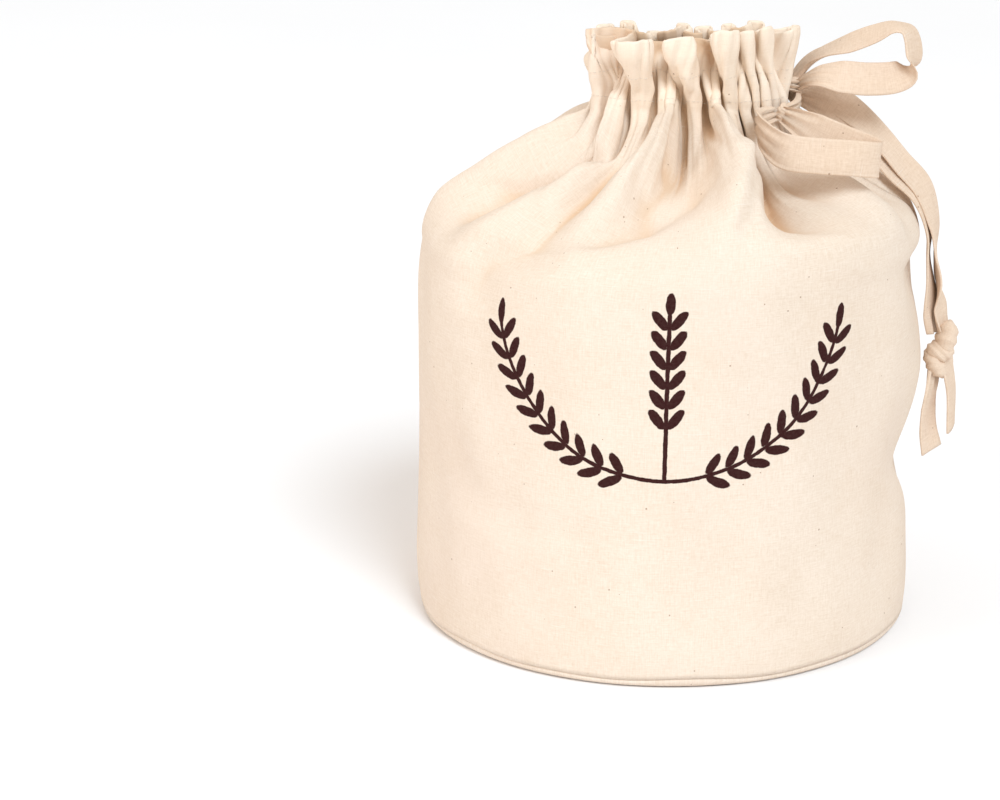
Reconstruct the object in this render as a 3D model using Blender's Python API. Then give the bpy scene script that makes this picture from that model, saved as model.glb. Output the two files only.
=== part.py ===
"""A round-based drawstring bread bag of unbleached cotton canvas, drawn shut at the neck.

Metres, +Z up. The origin is the middle of the base, on the surface it stands on. The front faces -Y.
A place on the wall is (u, up): u runs once round the cloth, 0 at the middle of the front and 0.25 at
the right-hand side seam, and up is the height along the cloth from the base seam.
"""

import math
from collections import namedtuple

import bmesh
import bpy
import numpy as np

# Driving dimensions
CLOTH_THICKNESS = 0.0012
PIECE_GAP = 0.0003
SEAM_GAP = 0.0006
NECK_SEAM_GAP = 0.0012
NECK_SEAM_LOW = 0.264
BASE_SEAM_HEIGHT = 0.0050
BASE_SEAM_WAVE = 0.0006
BASE_SEAM_FADE = 0.012
CUT_HEIGHT = 0.375
LEFT_SEAM_U = -0.25
RIGHT_SEAM_U = 0.25
SLOT_LOW = 0.3380
SLOT_HIGH = 0.3560
SLOT_WIDTH = 0.0100
SLOT_REACH_U = 0.06
TAPE_WIDTH = 0.019
TAPE_THICKNESS = 0.0016

# The wall, a row per level: height along the cloth, height above the floor, half width, half depth,
# how far the outline is a flat-sided neck instead of a circle, and how far its middle lies to the right.
Level = namedtuple("Level", "up z half_width half_depth necked shift")
LEVELS = (
    Level(0.000, BASE_SEAM_HEIGHT, 0.1368, 0.1395, 0.00, 0.000),
    Level(0.014, 0.0185, 0.1378, 0.1406, 0.00, 0.000),
    Level(0.060, 0.0640, 0.1368, 0.1395, 0.00, 0.000),
    Level(0.120, 0.1240, 0.1378, 0.1397, 0.00, 0.001),
    Level(0.180, 0.1840, 0.1388, 0.1400, 0.00, 0.002),
    Level(0.210, 0.2130, 0.1370, 0.1390, 0.00, 0.003),
    Level(0.232, 0.2310, 0.1275, 0.1320, 0.00, 0.006),
    Level(0.256, 0.2430, 0.1070, 0.1100, 0.10, 0.009),
    Level(0.286, 0.2570, 0.0820, 0.0800, 0.35, 0.011),
    Level(0.310, 0.2700, 0.0620, 0.0530, 0.65, 0.013),
    Level(0.326, 0.2810, 0.0525, 0.0290, 0.90, 0.013),
    Level(0.335, 0.2890, 0.0495, 0.0215, 1.00, 0.012),
    Level(0.347, 0.3000, 0.0480, 0.0190, 1.00, 0.012),
    Level(0.358, 0.3105, 0.0480, 0.0195, 1.00, 0.011),
    Level(CUT_HEIGHT, 0.3265, 0.0485, 0.0200, 1.00, 0.010),
)
# The base seam's small waves, once round.
Wave = namedtuple("Wave", "count turn share")
BASE_SEAM_WAVES = (Wave(7, 1.0, 1.0), Wave(12, 0.0, 0.7))
NECK_STRAIGHT = 0.029
NECK_END_RADIUS = 0.020
RUFFLE_TILT = 0.0022

# The gathers at the neck, a row per pleat that stands out: where it is on the casing and at the top edge,
# how much higher the edge is there, how deep the pleat is beside the others, and how much higher it is
# pinched.
Pleat = namedtuple("Pleat", "casing_u top_u rise depth pinch")
PLEATS = (
    Pleat(-0.208, -0.224, 0.0020, 1.10, -0.0060),
    Pleat(-0.112, -0.122, -0.0040, 1.25, 0.0010),
    Pleat(0.010, -0.026, -0.0020, 1.20, -0.0010),
    Pleat(0.094, 0.084, 0.0010, 1.20, 0.0010),
    Pleat(0.148, 0.130, 0.0025, 0.75, 0.0040),
    Pleat(0.190, 0.172, 0.0015, 0.85, 0.0020),
    Pleat(0.240, 0.236, 0.0028, 1.10, -0.0030),
    Pleat(0.290, 0.296, -0.0015, 0.90, 0.0010),
    Pleat(0.343, 0.350, 0.0015, 1.10, -0.0020),
    Pleat(0.396, 0.410, 0.0030, 0.80, 0.0030),
    Pleat(0.455, 0.462, -0.0010, 1.10, 0.0000),
    Pleat(0.515, 0.508, 0.0022, 0.90, 0.0020),
    Pleat(0.567, 0.575, -0.0025, 1.10, -0.0030),
    Pleat(0.622, 0.634, 0.0012, 0.80, 0.0020),
    Pleat(0.676, 0.680, 0.0025, 1.10, -0.0010),
    Pleat(0.732, 0.728, -0.0015, 0.90, 0.0020),
)
USUAL_PITCH = 0.0151

# How deep the gathers are, a row per level: the wide pleats, which stand out above the casing where they
# fall back below it, how broad they are there, and the fine pleats, which are deepest on the casing.
Gather = namedtuple("Gather", "up wide breadth fine")
GATHERS = (
    Gather(0.222, 0.0000, -0.30, 0.0000),
    Gather(0.256, -0.0012, -0.30, 0.0000),
    Gather(0.280, -0.0030, -0.25, 0.0000),
    Gather(0.300, -0.0044, -0.10, 0.0006),
    Gather(0.315, -0.0042, 0.15, 0.0018),
    Gather(0.327, -0.0027, 0.30, 0.0032),
    Gather(0.337, -0.0010, 0.20, 0.0042),
    Gather(0.345, 0.0008, -0.20, 0.0040),
    Gather(0.352, 0.0034, -0.10, 0.0028),
    Gather(0.360, 0.0062, 0.20, 0.0012),
    Gather(0.368, 0.0084, 0.40, 0.0003),
    Gather(CUT_HEIGHT, 0.0090, 0.50, 0.0000),
)
PITCH_SHARE_LEAST, PITCH_SHARE_MOST = 0.75, 1.35
FINE_OFFSET, FINE_DRIFT, FINE_DRIFT_TURNS = 0.15, 0.35, 3
FOLD_CRISPNESS = 1.7
FOLD_END_FADE = 0.008
LEVEL_FOLD_GIRTH = 0.6

# The folds of the shoulder and the wall, a row per section along each: where it is, how far it stands
# out (a valley is less than 0), and how wide it is towards lower and higher u, or below and above where
# the fold runs level.
Section = namedtuple("Section", "up u height lower higher")
FOLDS = {
    "left_roll": (
        Section(0.330, -0.205, 0.002, 0.010, 0.006),
        Section(0.304, -0.222, 0.009, 0.018, 0.010),
        Section(0.268, -0.238, 0.012, 0.026, 0.012),
        Section(0.234, -0.246, 0.008, 0.032, 0.016),
        Section(0.208, -0.250, 0.000, 0.030, 0.018),
    ),
    "left_back_flap": (
        Section(0.366, -0.274, 0.001, 0.003, 0.003),
        Section(0.359, -0.272, 0.006, 0.004, 0.003),
        Section(0.350, -0.270, 0.004, 0.004, 0.003),
    ),
    "left_valley": (
        Section(0.330, -0.140, -0.005, 0.005, 0.006),
        Section(0.314, -0.152, -0.014, 0.006, 0.009),
        Section(0.292, -0.178, -0.019, 0.007, 0.014),
        Section(0.266, -0.193, -0.015, 0.009, 0.020),
        Section(0.240, -0.194, -0.007, 0.014, 0.024),
        Section(0.214, -0.186, 0.000, 0.018, 0.024),
    ),
    "left_broad_ridge": (
        Section(0.318, -0.118, 0.004, 0.010, 0.010),
        Section(0.290, -0.136, 0.008, 0.014, 0.014),
        Section(0.258, -0.144, 0.009, 0.018, 0.016),
        Section(0.228, -0.152, 0.005, 0.022, 0.018),
        Section(0.202, -0.160, 0.000, 0.024, 0.020),
    ),
    "front_left_valley": (
        Section(0.306, -0.104, -0.004, 0.008, 0.012),
        Section(0.274, -0.108, -0.010, 0.010, 0.018),
        Section(0.242, -0.106, -0.011, 0.012, 0.022),
        Section(0.216, -0.128, -0.008, 0.014, 0.026),
        Section(0.186, -0.142, 0.000, 0.018, 0.026),
    ),
    "front_left_ridge": (
        Section(0.322, -0.072, 0.005, 0.012, 0.009),
        Section(0.296, -0.070, 0.010, 0.018, 0.012),
        Section(0.264, -0.074, 0.011, 0.024, 0.018),
        Section(0.236, -0.082, 0.004, 0.028, 0.024),
    ),
    "front_valley": (
        Section(0.334, -0.016, -0.003, 0.003, 0.004),
        Section(0.320, -0.022, -0.013, 0.005, 0.006),
        Section(0.300, -0.028, -0.015, 0.008, 0.012),
        Section(0.276, -0.044, -0.013, 0.013, 0.022),
        Section(0.248, -0.058, -0.008, 0.018, 0.032),
        Section(0.222, -0.060, 0.000, 0.024, 0.032),
    ),
    "casing_slit": (
        Section(0.350, 0.020, -0.002, 0.002, 0.003),
        Section(0.338, 0.022, -0.007, 0.003, 0.004),
        Section(0.322, 0.014, -0.006, 0.004, 0.005),
        Section(0.306, 0.004, 0.000, 0.005, 0.006),
    ),
    "front_right_ridge": (
        Section(0.330, 0.044, 0.003, 0.010, 0.010),
        Section(0.308, 0.052, 0.009, 0.014, 0.012),
        Section(0.280, 0.046, 0.012, 0.024, 0.016),
        Section(0.254, 0.034, 0.008, 0.028, 0.018),
        Section(0.234, 0.028, 0.000, 0.030, 0.020),
    ),
    "sharp_crease": (
        Section(0.338, 0.078, 0.002, 0.006, 0.003),
        Section(0.322, 0.088, 0.006, 0.010, 0.003),
        Section(0.306, 0.094, 0.009, 0.014, 0.003),
        Section(0.286, 0.080, 0.010, 0.016, 0.0035),
        Section(0.264, 0.064, 0.008, 0.018, 0.004),
        Section(0.246, 0.056, 0.001, 0.020, 0.006),
    ),
    "crease_recess": (
        Section(0.332, 0.102, -0.006, 0.004, 0.008),
        Section(0.314, 0.114, -0.015, 0.005, 0.014),
        Section(0.294, 0.108, -0.018, 0.006, 0.022),
        Section(0.268, 0.088, -0.013, 0.007, 0.030),
        Section(0.246, 0.080, -0.003, 0.010, 0.034),
    ),
    "right_lobe": (
        Section(0.300, 0.192, 0.003, 0.012, 0.012),
        Section(0.274, 0.178, 0.010, 0.020, 0.020),
        Section(0.248, 0.170, 0.010, 0.028, 0.026),
        Section(0.222, 0.162, 0.002, 0.030, 0.030),
    ),
    "right_side_valley": (
        Section(0.316, 0.224, -0.004, 0.008, 0.010),
        Section(0.286, 0.222, -0.010, 0.010, 0.012),
        Section(0.254, 0.216, -0.008, 0.012, 0.016),
        Section(0.226, 0.208, -0.002, 0.016, 0.018),
    ),
    "shoulder_ledge_left": (
        Section(0.236, -0.070, 0.003, 0.014, 0.007),
        Section(0.243, -0.036, 0.004, 0.014, 0.007),
        Section(0.260, 0.010, 0.002, 0.014, 0.008),
    ),
    "shoulder_ledge_right": (
        Section(0.266, 0.045, 0.004, 0.014, 0.008),
        Section(0.248, 0.080, 0.006, 0.016, 0.008),
        Section(0.231, 0.128, 0.005, 0.016, 0.009),
        Section(0.226, 0.175, 0.001, 0.016, 0.010),
    ),
    "back_left_ridge": (
        Section(0.318, 0.640, 0.004, 0.014, 0.012),
        Section(0.286, 0.652, 0.009, 0.022, 0.016),
        Section(0.254, 0.650, 0.007, 0.030, 0.024),
        Section(0.226, 0.655, 0.000, 0.034, 0.028),
    ),
    "back_left_valley": (
        Section(0.322, 0.602, -0.006, 0.008, 0.008),
        Section(0.296, 0.606, -0.011, 0.012, 0.012),
        Section(0.262, 0.598, -0.008, 0.018, 0.018),
        Section(0.230, 0.590, -0.003, 0.024, 0.022),
        Section(0.205, 0.585, 0.000, 0.024, 0.022),
    ),
    "back_middle_ridge": (
        Section(0.316, 0.555, 0.004, 0.014, 0.012),
        Section(0.284, 0.545, 0.008, 0.024, 0.020),
        Section(0.250, 0.540, 0.004, 0.030, 0.026),
    ),
    "back_middle_valley": (
        Section(0.324, 0.480, -0.005, 0.006, 0.008),
        Section(0.300, 0.476, -0.011, 0.010, 0.012),
        Section(0.268, 0.468, -0.009, 0.016, 0.020),
        Section(0.236, 0.455, -0.004, 0.022, 0.026),
        Section(0.212, 0.450, 0.000, 0.024, 0.026),
    ),
    "back_right_ridge": (
        Section(0.314, 0.420, 0.003, 0.012, 0.012),
        Section(0.282, 0.414, 0.009, 0.022, 0.018),
        Section(0.248, 0.405, 0.006, 0.030, 0.024),
        Section(0.222, 0.400, 0.000, 0.030, 0.026),
    ),
    "back_right_valley": (
        Section(0.318, 0.362, -0.005, 0.008, 0.010),
        Section(0.290, 0.356, -0.011, 0.012, 0.014),
        Section(0.258, 0.350, -0.008, 0.018, 0.020),
        Section(0.228, 0.352, -0.002, 0.022, 0.022),
    ),
    "back_seam_ridge": (
        Section(0.310, 0.305, 0.003, 0.012, 0.012),
        Section(0.276, 0.302, 0.007, 0.020, 0.020),
        Section(0.240, 0.300, 0.004, 0.026, 0.026),
    ),
    "wall_dent_high": (
        Section(0.207, 0.168, -0.001, 0.020, 0.010),
        Section(0.200, 0.205, -0.007, 0.022, 0.010),
        Section(0.1965, 0.242, -0.010, 0.024, 0.011),
        Section(0.194, 0.285, -0.002, 0.024, 0.014),
    ),
    "wall_swell": (
        Section(0.142, 0.190, 0.001, 0.020, 0.020),
        Section(0.138, 0.240, 0.003, 0.022, 0.020),
        Section(0.134, 0.290, 0.001, 0.020, 0.020),
    ),
    "wall_dent_low": (
        Section(0.110, 0.160, -0.001, 0.014, 0.020),
        Section(0.092, 0.205, -0.008, 0.014, 0.024),
        Section(0.084, 0.245, -0.011, 0.015, 0.026),
        Section(0.080, 0.290, -0.003, 0.018, 0.026),
    ),
    "wall_valley_left": (
        Section(0.124, -0.160, -0.001, 0.020, 0.024),
        Section(0.094, -0.140, -0.003, 0.020, 0.024),
        Section(0.074, -0.100, -0.002, 0.020, 0.024),
    ),
    "wall_valley_back": (
        Section(0.190, 0.560, -0.001, 0.026, 0.026),
        Section(0.130, 0.530, -0.004, 0.030, 0.030),
        Section(0.080, 0.480, -0.002, 0.030, 0.030),
    ),
}

# How many cells the wall has across a panel at each level, from the top edge down. The count halves
# where the gathers have opened out.
Band = namedtuple("Band", "columns levels")
BANDS = (
    Band(96, (CUT_HEIGHT, 0.3665, SLOT_HIGH, 0.3470, SLOT_LOW, 0.3290, 0.3190, 0.3090)),
    Band(48, (0.3090, 0.2980, 0.2870, 0.2760, 0.2640, 0.2520, 0.2400, 0.2280, 0.2150)),
    Band(24, (0.2150, 0.2000, 0.1760, 0.1480, 0.1180, 0.0880, 0.0580, 0.0300, 0.0140, 0.0000)),
)

# The base's rings, a row per ring: how far it lies inside the rim, and its height. The underside goes out
# to the rim and the inside comes back.
BaseRing = namedtuple("BaseRing", "inset z")
BASE_UNDERSIDE = (BaseRing(0.0695, 0.0), BaseRing(0.0055, 0.0), BaseRing(0.0010, 0.0014))
BASE_INSIDE = (
    BaseRing(0.0022, 0.0025),
    BaseRing(0.0055, CLOTH_THICKNESS),
    BaseRing(0.0695, CLOTH_THICKNESS),
)

# The tape's runs, a row per point: place, the way its width points, and how much of the width is open.
Point = namedtuple("Point", "x y z across open", defaults=(1.0,))
UPPER_LOOP = (
    Point(0.0675, 0.0190, 0.2940, (-0.20, 0.75, 0.60), 0.35),
    Point(0.0700, 0.0182, 0.3000, (-0.30, 0.85, 0.35), 0.40),
    Point(0.0762, 0.0160, 0.3085, (-0.20, 0.92, 0.20), 0.60),
    Point(0.0846, 0.0120, 0.3146, (-0.10, 0.93, 0.15), 0.85),
    Point(0.0981, 0.0070, 0.3203, (-0.10, 0.90, 0.25)),
    Point(0.1106, 0.0030, 0.3260, (-0.10, 0.90, 0.25)),
    Point(0.1211, 0.0005, 0.3304, (0.00, 0.95, 0.15)),
    Point(0.1291, -0.0010, 0.3286, (0.40, 0.85, 0.10)),
    Point(0.1321, -0.0025, 0.3185, (0.55, 0.80, 0.05)),
    Point(0.1307, -0.0045, 0.3090, (0.30, 0.75, 0.50)),
    Point(0.1221, -0.0060, 0.3043, (-0.10, 0.60, 0.75)),
    Point(0.1076, -0.0065, 0.3031, (-0.10, 0.50, 0.85)),
    Point(0.0937, -0.0050, 0.3038, (-0.10, 0.55, 0.80)),
    Point(0.0830, -0.0020, 0.3037, (-0.20, 0.80, 0.60), 0.80),
    Point(0.0755, 0.0030, 0.3005, (-0.20, 0.85, 0.50), 0.50),
    Point(0.0710, 0.0085, 0.2965, (-0.20, 0.75, 0.60), 0.35),
    Point(0.0685, 0.0125, 0.2935, (-0.20, 0.75, 0.60), 0.35),
)
NECK_RUN = (
    Point(0.0670, 0.0150, 0.2920, (0.0, 0.2, 0.9), 0.35),
    Point(0.0695, 0.0030, 0.2900, (0.0, 0.2, 0.9), 0.35),
    Point(0.0685, -0.0115, 0.2885, (0.0, 0.2, 0.9), 0.35),
    Point(0.0615, -0.0250, 0.2880, (0.0, 0.2, 0.9), 0.35),
)
FRONT_LOOP = (
    Point(0.0605, -0.0265, 0.2880, (0.0, 0.30, 0.9), 0.4),
    Point(0.0680, -0.0320, 0.2850, (0.0, 0.35, 0.9), 0.7),
    Point(0.0790, -0.0385, 0.2805, (0.0, 0.35, 0.9)),
    Point(0.0930, -0.0455, 0.2760, (0.0, 0.30, 0.9)),
    Point(0.1050, -0.0520, 0.2725, (0.0, 0.25, 1.0)),
    Point(0.1115, -0.0590, 0.2705, (0.0, 0.20, 1.0)),
    Point(0.1085, -0.0665, 0.2715, (0.0, 0.10, 1.0)),
    Point(0.0960, -0.0715, 0.2735, (0.0, 0.10, 1.0)),
    Point(0.0800, -0.0725, 0.2745, (0.0, 0.10, 1.0)),
    Point(0.0640, -0.0715, 0.2760, (0.0, 0.15, 1.0)),
    Point(0.0554, -0.0648, 0.2793, (0.0, 0.25, 0.9), 0.9),
    Point(0.0494, -0.0524, 0.2840, (0.0, 0.40, 0.9), 0.75),
    Point(0.0490, -0.0390, 0.2870, (0.0, 0.40, 0.9), 0.6),
    Point(0.0570, -0.0290, 0.2885, (0.0, 0.30, 0.9), 0.45),
)
TAIL_INNER = (
    Point(0.0670, 0.0165, 0.2905, (0.0, 0.45, 0.9), 0.4),
    Point(0.0750, 0.0150, 0.2885, (0.1, 0.55, 0.85), 0.6),
    Point(0.0890, 0.0130, 0.2835, (0.2, 0.65, 0.75)),
    Point(0.1020, 0.0105, 0.2750, (0.3, 0.75, 0.6)),
    Point(0.1140, 0.0085, 0.2635, (0.35, 0.8, 0.5)),
    Point(0.1253, 0.0060, 0.2503, (0.35, 0.8, 0.4)),
    Point(0.1376, 0.0037, 0.2373, (0.35, 0.85, 0.3)),
    Point(0.1442, 0.0023, 0.2190, (0.25, 0.95, 0.15)),
    Point(0.1445, 0.0012, 0.2030, (0.1, 1.0, 0.0)),
    Point(0.1462, 0.0000, 0.1890, (0.25, 1.0, 0.0)),
    Point(0.1480, 0.0000, 0.1740, (0.6, 0.9, 0.0)),
    Point(0.1500, 0.0000, 0.1600, (0.7, 0.8, 0.0), 0.6),
)
TAIL_OUTER = (
    Point(0.0670, 0.0170, 0.2940, (0.0, 0.45, 0.9), 0.4),
    Point(0.0760, 0.0180, 0.2925, (0.1, 0.55, 0.85), 0.7),
    Point(0.0905, 0.0165, 0.2875, (0.2, 0.65, 0.75)),
    Point(0.1045, 0.0135, 0.2790, (0.3, 0.75, 0.6)),
    Point(0.1170, 0.0110, 0.2675, (0.35, 0.8, 0.5)),
    Point(0.1285, 0.0085, 0.2540, (0.35, 0.8, 0.4)),
    Point(0.1408, 0.0060, 0.2400, (0.35, 0.85, 0.3)),
    Point(0.1475, 0.0040, 0.2205, (0.25, 0.95, 0.15)),
    Point(0.1485, 0.0020, 0.2035, (0.05, 1.0, 0.0)),
    Point(0.1505, 0.0005, 0.1890, (-0.1, 1.0, 0.0)),
    Point(0.1522, 0.0010, 0.1740, (0.4, 0.9, 0.0)),
    Point(0.1545, 0.0010, 0.1600, (0.5, 0.8, 0.0), 0.6),
)
LEFT_END = (
    Point(0.1500, -0.0020, 0.1420, (0.6, 0.8, 0.0), 0.5),
    Point(0.1490, -0.0030, 0.1300, (0.5, 0.85, 0.0), 0.8),
    Point(0.1475, -0.0040, 0.1180, (0.45, 0.9, 0.0)),
    Point(0.1475, -0.0050, 0.1050, (0.5, 0.85, 0.0)),
    Point(0.1500, -0.0050, 0.0930, (0.6, 0.8, 0.0)),
)
RIGHT_END = (
    Point(0.1555, 0.0010, 0.1500, (0.4, 0.9, 0.0), 0.5),
    Point(0.1580, 0.0020, 0.1380, (0.35, 0.9, 0.0)),
    Point(0.1605, 0.0030, 0.1240, (0.30, 0.95, 0.0)),
    Point(0.1612, 0.0040, 0.1030, (0.30, 0.95, 0.0)),
)
SLOT_STUB = (
    Point(0.0565, 0.0002, 0.2990, (0.0, 0.0, 1.0), 0.35),
    Point(0.0645, 0.0003, 0.2985, (0.0, 0.0, 1.0), 0.35),
    Point(0.0690, 0.0040, 0.2970, (0.0, 0.2, 1.0), 0.38),
    Point(0.0695, 0.0100, 0.2950, (0.0, 0.3, 1.0), 0.38),
    Point(0.0675, 0.0155, 0.2935, (0.0, 0.3, 1.0), 0.4),
)
RUN_STEPS = 3

# Knots, a row per lobe: middle, half sizes, and how far it leans about Y.
Lobe = namedtuple("Lobe", "x y z half_x half_y half_z lean")
BOW_KNOT = (
    Lobe(0.0670, 0.0165, 0.2930, 0.0044, 0.0062, 0.0068, 0.3),
    Lobe(0.0610, -0.0262, 0.2880, 0.0036, 0.0040, 0.0050, 0.0),
)
TAIL_KNOT = (
    Lobe(0.1560, 0.0000, 0.1565, 0.0066, 0.0095, 0.0115, 0.20),
    Lobe(0.1505, -0.0010, 0.1425, 0.0060, 0.0085, 0.0100, -0.25),
)
LOBE_SIDES = 12
LOBE_RINGS = 8

# Steps that slopes are measured over, in u or metres.
SMALL_STEP = 1e-3
TINY_STEP = 1e-4

ROUGHNESS = 0.9
CANVAS_COLOUR = (0.80, 0.66, 0.50, 1.0)
TAPE_COLOUR = (0.78, 0.64, 0.49, 1.0)


def smooth_through(knots, values, at):
    """A smooth curve through the rows of a table, with no overshoot between them."""
    step = np.diff(knots)
    rate = np.diff(values) / step
    slope = np.zeros(len(knots))
    slope[0], slope[-1] = rate[0], rate[-1]
    same_way = rate[:-1] * rate[1:] > 0
    before, after = step[:-1][same_way], step[1:][same_way]
    weight_before, weight_after = 2 * after + before, after + 2 * before
    slope[1:-1][same_way] = (weight_before + weight_after) / (
        weight_before / rate[:-1][same_way] + weight_after / rate[1:][same_way]
    )
    at = np.clip(at, knots[0], knots[-1])
    cell = np.clip(np.searchsorted(knots, at, side="right") - 1, 0, len(knots) - 2)
    t = (at - knots[cell]) / step[cell]
    rise = values[cell] + (values[cell + 1] - values[cell]) * t * t * (3 - 2 * t)
    bend = t * (1 - t) * (slope[cell] * (1 - t) - slope[cell + 1] * t)
    return rise + step[cell] * bend


def column(table, name, at):
    """One named column of a table, read at the given heights along the cloth."""
    rows = sorted(table, key=lambda row: row.up)
    knots = np.array([row.up for row in rows])
    values = np.array([getattr(row, name) for row in rows])
    return smooth_through(knots, values, at)


def neck_outline(u):
    """The flat-sided oval of the drawn neck, once round, with half sizes of 1."""
    quarter_turn = math.pi * NECK_END_RADIUS / 2
    quarter = NECK_STRAIGHT + quarter_turn
    wrapped = (u + 0.5) % 1.0 - 0.5
    run = np.abs(wrapped) * 4 * quarter
    folded = np.where(run > quarter, 2 * quarter - run, run)
    turn = np.clip(folded - NECK_STRAIGHT, 0, None) / NECK_END_RADIUS
    x = np.minimum(folded, NECK_STRAIGHT) + NECK_END_RADIUS * np.sin(turn)
    y = -np.cos(turn)
    return (
        np.sign(wrapped) * x / (NECK_STRAIGHT + NECK_END_RADIUS),
        np.where(run > quarter, -y, y),
    )


def plain_wall(u, up):
    """The wall without its folds and gathers."""
    necked = column(LEVELS, "necked", up)
    neck_x, neck_y = neck_outline(u)
    angle = 2 * math.pi * u
    x = (1 - necked) * np.sin(angle) + necked * neck_x
    y = -(1 - necked) * np.cos(angle) + necked * neck_y
    seam_wave = BASE_SEAM_WAVE * sum(
        wave.share * np.sin(wave.count * angle + wave.turn) for wave in BASE_SEAM_WAVES
    )
    return np.stack(
        [
            column(LEVELS, "half_width", up) * x + column(LEVELS, "shift", up),
            column(LEVELS, "half_depth", up) * y,
            column(LEVELS, "z", up) + seam_wave * np.exp(-up / BASE_SEAM_FADE),
        ],
        axis=-1,
    )


def unit(vectors):
    return vectors / np.linalg.norm(vectors, axis=-1, keepdims=True)


def around_and_out(surface, u, up):
    """The way round the cloth and the way out of it, at each place of a surface."""
    around = unit(surface(u + TINY_STEP, up) - surface(u - TINY_STEP, up))
    lower = np.maximum(up - TINY_STEP, 0)
    upper = np.minimum(up + TINY_STEP, CUT_HEIGHT)
    along = surface(u, upper) - surface(u, lower)
    return around, unit(np.cross(around, along))


def girth(up):
    """About how long the wall's outline is at a height."""
    return math.pi * (column(LEVELS, "half_width", up) + column(LEVELS, "half_depth", up))


def fold_height(rows, u, up):
    """How far one fold moves the cloth out. Its line is read by height, or by u where it runs level."""
    names = ("up", "u", "height", "lower", "higher")
    table = {name: np.array([getattr(row, name) for row in rows]) for name in names}
    middle = table["u"].mean()
    away = (u - middle + 0.5) % 1.0 - 0.5
    table["u"] = table["u"] - middle
    level = np.ptp(table["up"]) < np.ptp(table["u"]) * LEVEL_FOLD_GIRTH
    by, at = ("u", away) if level else ("up", up)
    order = np.argsort(table[by])
    knots = table[by][order]

    def read(name, shift=0.0):
        return smooth_through(knots, table[name][order], at + shift)

    scale = girth(up)
    if level:
        off = up - read("up")
        slope = (read("up", SMALL_STEP) - read("up", -SMALL_STEP)) / (2 * SMALL_STEP * scale)
        past_end = np.maximum(knots[0] - at, at - knots[-1]) * scale
    else:
        off = (away - read("u")) * scale
        slope = (read("u", SMALL_STEP) - read("u", -SMALL_STEP)) * scale / (2 * SMALL_STEP)
        past_end = np.maximum(knots[0] - at, at - knots[-1])
    distance = np.abs(off) / np.sqrt(1 + slope**2)
    width = np.where(off > 0, read("higher"), read("lower"))
    end_fade = np.exp(-((np.maximum(past_end, 0) / FOLD_END_FADE) ** 2))
    return read("height") * end_fade * np.exp(-((distance / width) ** FOLD_CRISPNESS))


def between_pleats(values, u):
    """A value that is given at each pleat, read all round the cloth."""
    casing = np.array([pleat.casing_u for pleat in PLEATS])
    knots = np.concatenate([casing - 1, casing, casing + 1])
    return smooth_through(knots, values, (u - casing[0]) % 1.0 + casing[0])


def pleat_phase(u, up):
    """The gathers' turn at a place: a whole number of turns at each pleat that stands out."""
    lean = np.tile([pleat.top_u - pleat.casing_u for pleat in PLEATS], 3)
    towards_top = np.clip((up - SLOT_LOW) / (CUT_HEIGHT - SLOT_LOW), 0, 1)
    moved = u - between_pleats(lean, u) * towards_top
    turns = np.arange(-len(PLEATS), 2 * len(PLEATS), dtype=float)
    return 2 * math.pi * between_pleats(turns, moved)


def at_pleats(name, u):
    """One column of the pleats' table, read all round the cloth."""
    return between_pleats(np.tile([getattr(pleat, name) for pleat in PLEATS], 3), u)


def gathers(u, up):
    """How far the gathers move the cloth out and along its outline."""
    phase = pleat_phase(u, up)
    turning = (pleat_phase(u + SMALL_STEP, up) - pleat_phase(u - SMALL_STEP, up)) % (2 * math.pi)
    pitch = 2 * math.pi * 2 * SMALL_STEP * girth(up) / turning
    steepness = np.clip(pitch / USUAL_PITCH, PITCH_SHARE_LEAST, PITCH_SHARE_MOST)
    level = up - at_pleats("pinch", u)
    wide = column(GATHERS, "wide", level) * steepness * at_pleats("depth", u)
    fine = column(GATHERS, "fine", level) * steepness
    drift = FINE_DRIFT * np.sin(2 * math.pi * FINE_DRIFT_TURNS * u)
    fine_phase = 2 * phase + FINE_OFFSET + drift
    broad_phase = phase - column(GATHERS, "breadth", level) * np.sin(phase)
    out = wide * np.cos(broad_phase) + fine * np.cos(fine_phase)
    along = (wide**2 * np.sin(2 * phase) + 2 * fine**2 * np.sin(2 * fine_phase)) / (2 * pitch)
    return out, along


def wall(u, up):
    """The middle of the wall's cloth, with its folds and gathers."""
    around, out = around_and_out(plain_wall, u, up)
    gathered_out, gathered_along = gathers(u, up)
    height = gathered_out + sum(fold_height(rows, u, up) for rows in FOLDS.values())
    edge = np.clip((up - SLOT_HIGH) / (CUT_HEIGHT - SLOT_HIGH), 0, 1)
    edge_wave = at_pleats("rise", u)
    place = plain_wall(u, up) + height[..., None] * out + gathered_along[..., None] * around
    place[..., 2] += edge * (edge_wave - RUFFLE_TILT * place[..., 1] / NECK_END_RADIUS)
    return place


def cloth_sides(u, up):
    """The outer and the inner face of the wall at each place."""
    middle = wall(u, up)
    out = around_and_out(wall, u, up)[1]
    half = CLOTH_THICKNESS / 2
    return middle + half * out, middle - half * out


def panel_grid(first_u, last_u):
    """A panel's places, as (u, up), and its cells, as the places round each of them."""
    places, cells, above = [], [], []
    for band in BANDS:
        for level in band.levels[1:] if above else band.levels:
            row = [len(places) + i for i in range(band.columns + 1)]
            places += [(first_u + (last_u - first_u) * i / band.columns, level) for i in range(len(row))]
            for i in range(band.columns if above else 0):
                low_left, low_right = row[i : i + 2]
                if len(above) == len(row):
                    cells.append((above[i], low_left, low_right, above[i + 1]))
                    continue
                left, middle, right = above[2 * i : 2 * i + 3]
                cells += [(left, low_left, middle), (middle, low_left, low_right), (middle, low_right, right)]
            above = row
    return np.array(places), cells


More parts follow.
